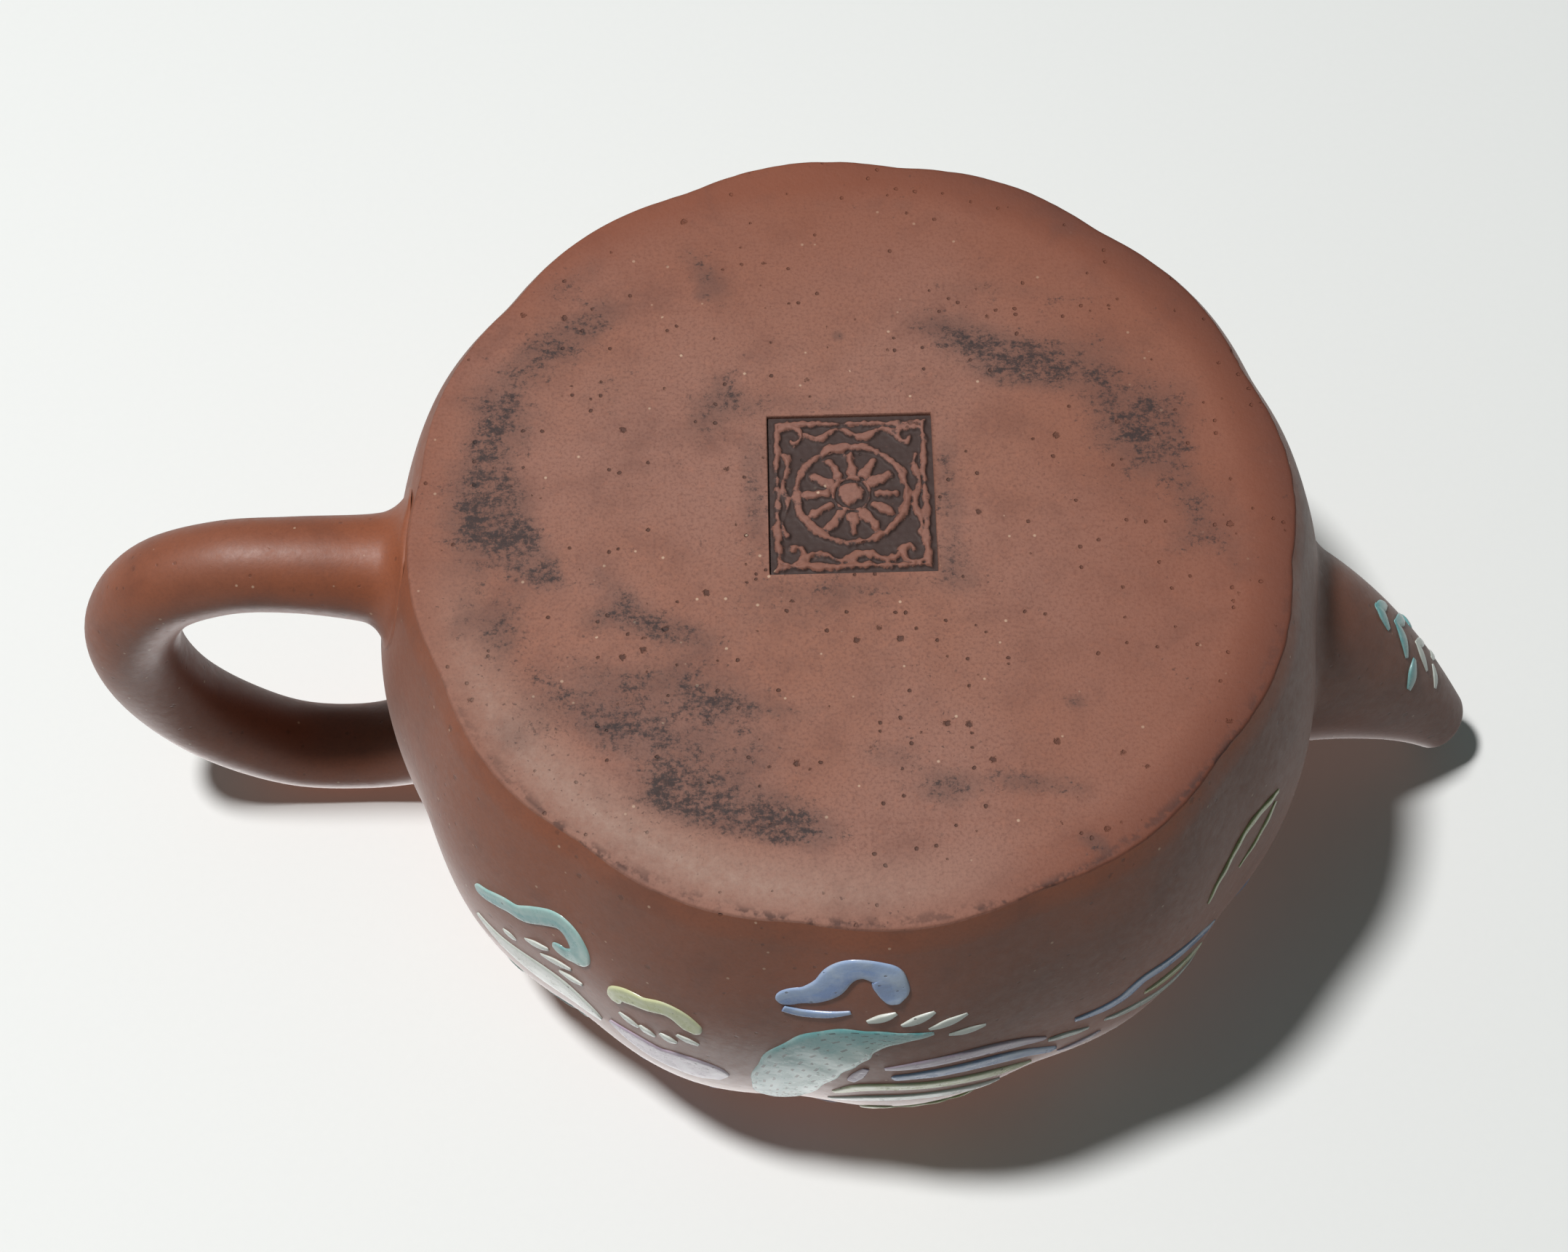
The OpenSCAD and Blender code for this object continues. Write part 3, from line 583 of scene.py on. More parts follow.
def build_seal():
    """The sunk panel: a double frame, a running scroll, a ring, twelve petals and a boss."""
    cx, cy, sx, sy, depth = SEAL
    hx, hy = sx / 2 + 0.12, sy / 2 + 0.12
    nx, ny = 170, 188
    xs, ys = np.linspace(-hx, hx, nx), np.linspace(-hy, hy, ny)
    X, Y = np.meshgrid(xs, ys)
    near = np.full(X.shape, 9.0)

    def take(d, half):
        nonlocal near
        near = np.minimum(near, d - half)

    bx, by = sx / 2 - 1.05, sy / 2 - 1.05
    frame_d = np.abs(np.maximum(np.abs(X) - bx, np.abs(Y) - by))
    take(frame_d, 0.34)
    rr, aa = np.hypot(X, Y), np.arctan2(Y, X)
    take(np.abs(rr - 6.35), 0.42)
    for i in range(12):
        t = i * math.pi / 6
        take(seg_dist(X, Y, (2.9 * math.cos(t), 2.9 * math.sin(t)), (5.0 * math.cos(t), 5.0 * math.sin(t))), 0.5)
    take(rr, 1.5)
    take(np.abs(rr - 2.1), 0.12)
    for qx in (-1, 1):
        for qy in (-1, 1):
            px, py = qx * (sx / 2 - 2.8), qy * (sy / 2 - 3.0)
            pts = []
            for k in range(22):
                t = k / 21
                ang = t * 4.6 + 0.6
                rad = 1.75 * (1 - t) + 0.25
                pts.append((px + qx * rad * math.cos(ang), py + qy * rad * math.sin(ang)))
            for p, q in zip(pts[:-1], pts[1:]):
                take(seg_dist(X, Y, p, q), 0.36)
    for side in (-1, 1):
        pts = [(-5.2 + 10.4 * k / 40, side * (sy / 2 - 2.3 + 0.55 * math.sin(k / 40 * 4 * math.pi))) for k in range(41)]
        for p, q in zip(pts[:-1], pts[1:]):
            take(seg_dist(X, Y, p, q), 0.36)
        pts = [(side * (sx / 2 - 1.9 + 0.3 * math.sin(k / 40 * 4 * math.pi)), -5.2 + 10.4 * k / 40) for k in range(41)]
        for p, q in zip(pts[:-1], pts[1:]):
            take(seg_dist(X, Y, p, q), 0.3)
    near = near + 0.26 * wobble(X, Y, 0 * X, 2.6, 11) + 0.12 * wobble(X, Y, 0 * X, 0.9, 12)
    up = 1 / (1 + np.exp(near / 0.085))
    worn = np.clip(0.86 + 0.22 * wobble(X, Y, 0 * X, 7, 13) - 0.25 * np.exp(-((X - 8) ** 2 + (Y + 2) ** 2) / 12), 0.35, 1)
    z = depth * (1 - up * worn) + 0.03 * wobble(X, Y, 0 * X, 1.0, 14) + 0.03
    z = np.maximum(z, 0.03)
    wall = np.maximum(np.abs(X) - (sx / 2 - 0.25), np.abs(Y) - (sy / 2 - 0.25))
    z = np.where(wall > 0, np.maximum(z, 0.55), z)
    verts = np.stack([X + cx, Y + cy, z], -1).reshape(-1, 3)
    deep = np.clip((z - 0.1) / depth, 0, 1).ravel()
    faces = []
    for j in range(ny - 1):
        for i in range(nx - 1):
            a = j * nx + i
            faces.append((a, a + nx, a + nx + 1, a + 1))
    # a back and sides, so that the panel is a closed slab
    k = len(verts)
    back = verts.copy()
    back[:, 2] = 1.4
    rim = [i for i in range(nx)] + [j * nx + nx - 1 for j in range(1, ny)] + [(ny - 1) * nx + i for i in range(nx - 2, -1, -1)] + [j * nx for j in range(ny - 2, 0, -1)]
    rim_back = back[rim]
    verts = np.concatenate([verts, rim_back])
    n = len(rim)
    for q in range(n):
        h = (q + 1) % n
        faces.append((rim[q], rim[h], k + h, k + q))
    faces.append(tuple(k + q for q in range(n)))
    deep = np.concatenate([deep, np.ones(n)])
    return add_mesh("pot_seal", verts, faces, CLAY_SEAL, "pot", sharp=75, values={"deep": deep})


# ---- wall, shoulder and collar ---------------------------------------------------


def apply_modifiers(ob):
    dg = bpy.context.evaluated_depsgraph_get()
    me = bpy.data.meshes.new_from_object(ob.evaluated_get(dg))
    old = ob.data
    ob.modifiers.clear()
    ob.data = me
    me.name = old.name
    bpy.data.meshes.remove(old)


def build_wall():
    outer = np.concatenate([np.linspace(BASE_T, 40, 40), np.linspace(40.6, WALL_TOP, 26)])
    inner = np.linspace(WALL_TOP, BASE_T, 34)
    rows = [ring(float(body_r(z)), z, float(body_amp(z)), soft=soft_at(z)) for z in outer]
    rows += [ring(float(body_r(z)) - WALL, z, 0.4) for z in inner]
    v = np.array(rows)
    m = len(outer)
    amount = np.concatenate([np.clip((outer - BASE_T) / 6, 0, 1) * np.clip((WALL_TOP - outer) / 6, 0, 1), np.zeros(len(inner))])[:, None]
    w = wobble(v[..., 0], v[..., 1], v[..., 2], 24, 21) * 0.1 * amount
    r = np.hypot(v[..., 0], v[..., 1])
    v[..., 0] *= 1 + w / r
    v[..., 1] *= 1 + w / r
    inside = np.concatenate([np.zeros(m * N), np.ones(len(inner) * N)])
    ob = add_mesh("pot_wall", v.reshape(-1, 3), lattice(len(rows), N, True, False, flip=False), CLAY_WALL, "pot", sharp=40,
                  values={"inner": inside})
    # the straining holes behind the spout
    cut_v, cut_f = [], []
    for y, z in [(0, 0)] + [(6.4 * math.cos(math.radians(i * 60 + 30)), 6.4 * math.sin(math.radians(i * 60 + 30))) for i in range(6)]:
        z += 1.5
        k = len(cut_v)
        for x in (-62.0, -48.0):
            for j in range(32):
                t = j * math.pi / 16
                cut_v.append((x, y + 1.6 * math.cos(t), 31 + z + 1.6 * math.sin(t)))
        for j in range(32):
            h = (j + 1) % 32
            cut_f.append((k + j, k + 32 + j, k + 32 + h, k + h))
        cut_f.append(tuple(k + j for j in range(32)))
        cut_f.append(tuple(k + 32 + j for j in range(31, -1, -1)))
    me = bpy.data.meshes.new("holes")
    me.from_pydata((np.array(cut_v) * MM).tolist(), [], cut_f)
    tool = bpy.data.objects.new("holes", me)
    bpy.context.scene.collection.objects.link(tool)
    mod = ob.modifiers.new("holes", "BOOLEAN")
    mod.operation, mod.solver, mod.object = "DIFFERENCE", "EXACT", tool
    apply_modifiers(ob)
    bpy.data.objects.remove(tool)
    return ob


def build_shoulder():
    arc = [WALL_TOP, 55.4, 55.8, 56.2, 56.6, 57.0, 57.3, 57.6, 57.85, 58.05, 58.2, 58.3, 58.36, 58.395]
    prof = [[float(body_r(z)), z, float(body_amp(z))] for z in arc]
    prof += [[SH_R, SH_TOP, float(body_amp(SH_TOP))], [37.4, SH_TOP + 0.0, 1.5], [36.0, SH_TOP, MOUTH_LOBE - 0.3], [MOUTH, SH_TOP, MOUTH_LOBE - 0.3],
             [MOUTH, SH_TOP - WALL + 0.2, MOUTH_LOBE - 0.3], [40, SH_TOP - WALL, 0.6], [float(body_r(WALL_TOP)) - WALL, WALL_TOP, 0.4]]
    prof = fine(prof, 0.8)
    rows = np.array([ring(q[0], q[1], q[2], soft=soft_at(q[1])) for q in prof])
    turn = next(i for i, q in enumerate(prof) if q[0] < MOUTH + 0.01 and q[1] < SH_TOP - 0.3)
    inside = np.repeat((np.arange(len(prof)) >= turn).astype(float), N)
    return add_mesh("pot_shoulder", rows.reshape(-1, 3), lattice(len(rows), N, True, False), CLAY_WALL, "pot", sharp=40,
                    values={"inner": inside})


def build_collar():
    prof = [[COLLAR + 0.9, SH_TOP - 0.05, MOUTH_LOBE - 0.1], [COLLAR + 0.35, SH_TOP + 0.12, MOUTH_LOBE], [COLLAR, SH_TOP + 0.7, MOUTH_LOBE],
            [COLLAR, RIM - 0.9, MOUTH_LOBE], [COLLAR - 0.25, RIM - 0.3, MOUTH_LOBE], [COLLAR - 0.8, RIM, MOUTH_LOBE],
            [MOUTH + 0.8, RIM, MOUTH_LOBE - 0.3], [MOUTH + 0.2, RIM - 0.25, MOUTH_LOBE - 0.3], [MOUTH, RIM - 0.8, MOUTH_LOBE - 0.3],
            [MOUTH, SH_TOP - 0.05, MOUTH_LOBE - 0.3]]
    rows = turned(fine(rounded(prof, 0.35, 3), 0.5), soft=0.06)
    return add_mesh("pot_collar", rows.reshape(-1, 3), lattice(len(rows), N, True, False), CLAY_WALL, "pot", sharp=50,
                    values={"inner": np.zeros(len(rows) * N)})


# ---- spout and handle --------------------------------------------------------------


def bez(a, b, c, t):
    return (1 - t) ** 2 * np.array(a) + 2 * t * (1 - t) * np.array(b) + t * t * np.array(c)


def spout_low(t):
    return bez([-54, 14], [-67, 24], [-79, 51.4], t)


def spout_up(t):
    return bez([-50.9, 49.6], [-64, 51.2], [-73.4, 57.5], t)


def spout_w(t):
    return 4 + 7.5 * max(0.0, 1 - t) ** 1.15


def spout_at(t, a, k=0.0):
    """A point of the spout, a degrees round, drawn in by k."""
    lo, up = spout_low(t), spout_up(t)
    c, v = (lo + up) / 2, (up - lo) / 2
    h, w = np.linalg.norm(v), spout_w(t)
    q = (h - k) / h * math.sin(math.radians(a))
    return np.array([c[0] + v[0] * q, (w - k) * math.cos(math.radians(a)), c[1] + v[1] * q])


def off_body(p):
    """Height of a point above the body's skin, roughly along the normal, and that normal."""
    x, y, z = p
    r, az = math.hypot(x, y), math.degrees(math.atan2(y, x))
    g = float(slope(z))
    n = math.sqrt(1 + g * g)
    d = (r - float(body_r(z)) - float(body_amp(z)) * (float(scallop(az - TURN, soft_at(z))) - 0.64)) / n
    return d, np.array([x / r / n, y / r / n, -g / n])


def filleted(line, centre, heights, rho):
    """Points of one lengthwise line of a limb at the given heights above the body, spread into a fillet of radius rho.
    line(s) is a point, centre(s) the limb's middle; s = 0 is inside the body and s grows outwards."""
    out = []
    for d in heights:
        lo, hi = 0.0, 1.0
        for _ in range(30):
            mid = (lo + hi) / 2
            if off_body(line(mid))[0] < d:
                lo = mid
            else:
                hi = mid
        s = (lo + hi) / 2
        p = line(s)
        _, nrm = off_body(p)
        push = p - centre(s)
        push = push - nrm * float(push @ nrm)
        push /= np.linalg.norm(push) + 1e-9
        q = min(max(rho - max(d, 0.0), 0.0), rho)
        grow = rho - math.sqrt(max(rho * rho - q * q, 0.0)) + (max(-d, 0.0) * 1.0)
        out.append(p + push * grow)
    return out


def heights(rho, steps=11):
    return [rho * (1 - k / steps) ** 2 for k in range(steps + 1)] + [-0.06, -0.2]


def build_spout():
    n = 72
    rho = 1.6
    hs = heights(rho)[::-1]
    cols = []
    for j in range(n):
        a = j * 360.0 / n
        line = lambda s, a=a: spout_at(s * 0.45, a)
        mid = lambda s: spout_at(s * 0.45, 0) * np.array([1, 0, 1])
        root = filleted(line, mid, hs, rho)
        lo, hi = 0.0, 1.0
        for _ in range(30):
            m = (lo + hi) / 2
            if off_body(line(m))[0] < rho:
                lo = m
            else:
                hi = m
        t0 = (lo + hi) / 2 * 0.45
        rest = [spout_at(t0 + (1 - t0) * k / 44, a) for k in range(1, 44)]
        # the lip, rolled over from outside to inside
        tt = 1.2
        end = spout_at(1.0, a)
        back = spout_at(0.985, a)
        lip = []
        for k in range(0, 9):
            th = k / 8 * math.pi
            inset = tt / 2 - tt / 2 * math.cos(th)
            p = spout_at(1.0, a, inset)
            d = (end - back) / np.linalg.norm(end - back)
            lip.append(p - d * (tt / 2) * (1 - math.sin(th)) * 0.8)
        inner = [spout_at(1 - (1 - 0.0) * k / 26, a, 2.4 + (1.2 - 2.4) * (1 - k / 26)) for k in range(1, 27)]
        cols.append(root + rest + lip + inner)
    v = np.array(cols).transpose(1, 0, 2)
    v[..., 1] += 0.05 * wobble(v[..., 0], v[..., 1] * 0.3, v[..., 2], 12, 31)
    m = len(v)
    inside = np.zeros((m, n))
    inside[-26:] = 1
    return add_mesh("pot_spout", v.reshape(-1, 3), lattice(m, n, True, False, flip=True), CLAY_SPOUT, "pot", sharp=60,
                    values={"inner": inside.ravel()})


HANDLE = [[50.5, 9.8], [56.5, 8.8], [65, 7.7], [73, 8], [80.9, 11.8], [85.7, 19.8], [86.6, 29], [84.1, 39.3], [78.6, 48],
          [71.2, 54], [62.5, 55.2], [55, 53], [48.5, 48.6]]
ROD = [7.6, 6.3, 5.6, 5.5, 5.6, 5.7, 5.7, 5.6, 5.6, 5.5, 5.5, 5.9, 6.8]


def build_handle():
    steps = 14
    path = catmull([[p[0], p[1], r] for p, r in zip(HANDLE, ROD)], steps)
    m = len(path)
    tan = np.gradient(path[:, :2], axis=0)
    tan /= np.linalg.norm(tan, axis=1)[:, None]
    n = 64

    def point(s, a, out=1.0):
        """s runs 0 to 1 along the path."""
        f = min(max(s, 0.0), 1.0) * (m - 1)
        i = min(int(f), m - 2)
        k = f - i
        x, z, r = path[i] * (1 - k) + path[i + 1] * k
        t = tan[i] * (1 - k) + tan[i + 1] * k
        c, sn = math.cos(a), math.sin(a)
        return np.array([x + out * r * sn * t[1], out * r * c, z - out * r * sn * t[0]])

    cols = []
    for j in range(n):
        a = j * 2 * math.pi / n
        rho_a, rho_b = 2.6, 2.2
        low = lambda s, a=a: point(s * 0.3, a)
        low_mid = lambda s: point(s * 0.3, 0, 0.0)
        top = lambda s, a=a: point(1 - s * 0.3, a)
        top_mid = lambda s: point(1 - s * 0.3, 0, 0.0)
        root = filleted(low, low_mid, heights(rho_a)[::-1], rho_a)
        end = filleted(top, top_mid, heights(rho_b), rho_b)

        def where(line, rho):
            lo, hi = 0.0, 1.0
            for _ in range(30):
                mid = (lo + hi) / 2
                if off_body(line(mid))[0] < rho:
                    lo = mid
                else:
                    hi = mid
            return (lo + hi) / 2 * 0.3

        s0, s1 = where(low, rho_a), 1 - where(top, rho_b)
        body = [point(s0 + (s1 - s0) * k / 90, a) for k in range(1, 90)]
        cols.append(root + body + end)
    v = np.array(cols).transpose(1, 0, 2)
    w = 0.06 * wobble(v[..., 0], v[..., 1], v[..., 2], 14, 41)
    v[14:-14, :, 1] *= 1 + w[14:-14] / 5.6
    # keep the low root above the plane the pot stands on
    v[..., 2] = np.where(v[..., 2] < 0.9, 0.9 + (v[..., 2] - 0.9) * 0.15, v[..., 2])
    return add_mesh("pot_handle", v.reshape(-1, 3), lattice(len(v), n, False, True, flip=True), CLAY_HANDLE, "pot", sharp=60)


# ---- lid ------------------------------------------------------------------------------


def build_lid():
    f = FLANGE_R - FLANGE_T
    top = catmull([[STEAM + 0.5, LID_Z + 9.7, 0.0], [6, LID_Z + 9.55, 0.1], [11, LID_Z + 9.15, 0.4], [19, LID_Z + 7.8, 0.9], [26.5, LID_Z + 5.9, 1.3],
                   [32, LID_Z + 4.1, 1.6], [LID_R - 0.9, LID_Z + 3.0, MOUTH_LOBE]], 6)[::-1]
    under = [[STEAM, LID_Z + 6.15, 0], [12, LID_Z + 5.5, 0.1], [22, LID_Z + 3.5, 0.6], [f - 1.4, LID_Z + 0.6, 1.3], [f, LID_Z, MOUTH_LOBE - 0.4],
             [LID_R - 0.7, LID_Z, MOUTH_LOBE], [LID_R, LID_Z + 0.6, MOUTH_LOBE], [LID_R, LID_Z + 2.1, MOUTH_LOBE]]
    prof = np.concatenate([fine(under, 1.0, False), top, [[STEAM, LID_Z + 9.4, 0.0]]])
    rows = turned(rounded(prof, 0.35, 3), soft=0.06)
    rows = swell(rows, 0.05, 16, 51)
    add_mesh("lid_plate_piece", rows.reshape(-1, 3), lattice(len(rows), N, True, False), CLAY_LID, "lid", sharp=55)
    low = LID_Z - FLANGE_D
    prof = [[FLANGE_R - 0.7, low, 1.5], [FLANGE_R, low + 0.8, 1.5], [FLANGE_R, LID_Z + 0.1, 1.5], [f, LID_Z + 0.1, 1.4], [f, low + 0.8, 1.4], [f + 0.6, low, 1.4]]
    rows = turned(fine(rounded(prof, 0.45, 4), 0.8), soft=0.06)
    add_mesh("lid_flange_piece", rows.reshape(-1, 3), lattice(len(rows), N, True, False), CLAY_LID, "lid", sharp=55)
    r, z = KNOB_R, LID_Z + 9.5
    side = catmull([[r * 0.86, z - 0.05, 0.1], [r * 0.68, z + 0.5, 0.2], [r * 0.58, z + KNOB_H * 0.11, 0.25], [r * 0.64, z + KNOB_H * 0.2, 0.35],
                    [r * 0.87, z + KNOB_H * 0.34, 0.6], [r * 0.99, z + KNOB_H * 0.5, 0.8], [r * 0.98, z + KNOB_H * 0.66, 0.8],
                    [r * 0.84, z + KNOB_H * 0.83, 0.7], [r * 0.56, z + KNOB_H * 0.955, 0.4], [STEAM + 0.6, z + KNOB_H + 0.02, 0.05]], 7)
    prof = np.concatenate([side, [[STEAM + 0.15, z + KNOB_H - 0.15, 0], [STEAM, z + KNOB_H - 0.6, 0], [STEAM, z - 0.05, 0]]])
    rows = turned(prof, soft=0.12)
    rows = swell(rows, 0.03, 8, 52)
    add_mesh("lid_knob_piece", rows.reshape(-1, 3), lattice(len(rows), N, True, False), CLAY_LID, "lid", sharp=60)


# ---- enamel ----------------------------------------------------------------------------

TEAL, TEAL_D, AQUA = lin(112, 170, 172), lin(66, 132, 136), lin(186, 214, 206)
BLUE, BLUE_D, SKY = lin(122, 150, 200), lin(82, 108, 170), lin(178, 196, 222)
YELLOW, YELLOW_D, CREAM = lin(196, 200, 140), lin(158, 168, 96), lin(220, 221, 186)
WHITE, GREY, PEARL = lin(206, 212, 202), lin(160, 172, 170), lin(226, 228, 222)
MAUVE, MAUVE_D, ROSE = lin(172, 150, 176), lin(128, 104, 140), lin(208, 190, 204)
HUES = {"teal": (TEAL, TEAL_D, AQUA), "blue": (BLUE, BLUE_D, SKY), "yellow": (YELLOW, YELLOW_D, CREAM),
        "white": (WHITE, GREY, PEARL), "mauve": (MAUVE, MAUVE_D, ROSE)}


class Strokes:
    """Collects the strokes of one enamel colour into one mesh."""

    def __init__(self, hue):
        self.hue, self.v, self.f, self.paint, self.across, self.along = hue, [], [], [], [], []
        self.count = 0

    def tube(self, rows, v_of, u_of, tones):
        m, n = len(rows), len(rows[0])
        k = self.count
        self.v.append(np.array(rows).reshape(-1, 3))
        self.f += [tuple(k + q for q in f) for f in lattice(m, n, False, True)]
        mid, dark, pale = (np.array(c[:3]) for c in tones)
        for u in u_of:
            for v in v_of:
                side = 0.5 + 0.5 * v
                c = mid * (1 - 0.55 * side) + pale * 0.55 * side if v > 0 else mid * (1 + 0.5 * v) + dark * (-0.5 * v)
                fade = 0.5 + 0.5 * math.cos(u * math.pi)
                c = c * (0.75 + 0.25 * fade) + pale * 0.25 * (1 - fade)
                self.paint.append(c)
                self.across.append(v)
                self.along.append(u)
        self.count += m * n

    def stroke(self, P, tones=None, thick=1.0, blunt=0.0):
        c = catmull(P, 8)
        n = len(c)
        e = 14
        vs = [1 - 2 * j / e for j in range(e + 1)]
        rows, us = [], []
        mid_w = float(np.max(c[:, 2]))
        flat = np.stack([c[:, 0] * 0.9, c[:, 1]], -1)
        run = np.concatenate([[0.0], np.cumsum(np.hypot(*np.diff(flat, axis=0).T))])
        ends = np.minimum(run, run[-1] - run)
        for i in range(n):
            p = c[i].copy()
            # the brush leaves a blunt, round end
            cap = min(1.0, (ends[i] + 0.05) / (0.8 * mid_w))
            p[2] = max(p[2], 0.72 * mid_w * blunt) * math.sqrt(max(1 - (1 - cap) ** 2, 0.03)) if blunt else p[2]
            d = c[min(i + 1, n - 1)] - c[max(i - 1, 0)]
            r = float(body_r(p[1]))
            u = r * math.pi / 180
            g = math.sqrt(1 + float(slope(p[1])) ** 2)
            t = np.array([d[0] * u, d[1] * g])
            t /= np.linalg.norm(t)
            w = max(p[2], 0.15)
            top = ENAMEL_H * thick * min(1, w / 0.6) * (0.86 + 0.14 * math.sin(i * 0.35 + p[0]))
            out = []
            for v in vs:
                k = top * (max(0.0, 1 - abs(v) ** 3.2) ** 0.5) * (0.82 + 0.18 * abs(v) ** 2) - (0.25 if abs(v) > 0.99 else 0)
                wv = w * v * (1 + 0.03 * math.sin(i * 0.45 + 2 * v + p[0]))
                out.append(skin(p[0] - t[1] * wv / u, p[1] + t[0] * wv / g, k))
            # a sunk underside closes the tube
            rows.append(out)
            us.append(i / (n - 1))
        self.tube(rows, vs, us, tones or HUES[self.hue])

    def scroll(self, a, z, s=1.0, m=1):
        q = [[-8, 1.2, 0.3], [-5.6, -0.6, 1.0], [-3, 0, 1.1], [-0.6, -1.8, 1.2], [2.4, -2.6, 1.3], [5, -0.8, 1.3], [4.6, 1.5, 1.1], [2.4, 1.9, 0.4]]
        self.stroke([[a + m * p[0] * s, z - p[1] * s, p[2] * s] for p in q])

    def drop(self, P):
        for m in (0, 1):
            c = catmull(P, 7)
            n = len(c)
            vs = [1 - 2 * j / 8 for j in range(9)]
            rows, us = [], []
            for i in range(n):
                p = c[i]
                w = max(p[2], 0.12)
                d = c[min(i + 1, n - 1)] - c[max(i - 1, 0)]
                uw = spout_w(p[0]) * math.pi / 180
                t = np.array([d[0] * 34, d[1] * uw])
                t /= np.linalg.norm(t)
                out = []
                for v in vs:
                    y = p[1] + t[0] * w * v / uw
                    k = 0.5 * min(1, w) * max(0.0, 1 - abs(v) ** 3) ** 0.5 - (0.25 if abs(v) > 0.99 else 0)
                    out.append(spout_at(p[0] - t[1] * w * v / 34, y if m == 0 else 540 - y, -k))
                rows.append(out if m == 0 else out[::-1])
                us.append(i / (n - 1))
            self.tube(rows, vs if m == 0 else vs[::-1], us, HUES[self.hue])

    def mirror_half(self, start):
        """Repeats everything from vertex start on, turned half round the pot."""
        v = np.concatenate(self.v)[start:]
        k = self.count - start
        self.f += [tuple(q + k for q in f) for f in self.f if min(f) >= start]
        self.v.append(v * np.array([-1, -1, 1]))
        self.paint += self.paint[start:]
        self.across += self.across[start:]
        self.along += self.along[start:]
        self.count += k

    def make(self, name, material):
        ob = add_mesh(name, np.concatenate(self.v), self.f, material, "pot", sharp=180,
                      colours={"paint": self.paint}, values={"across": self.across, "along": self.along})
        return ob


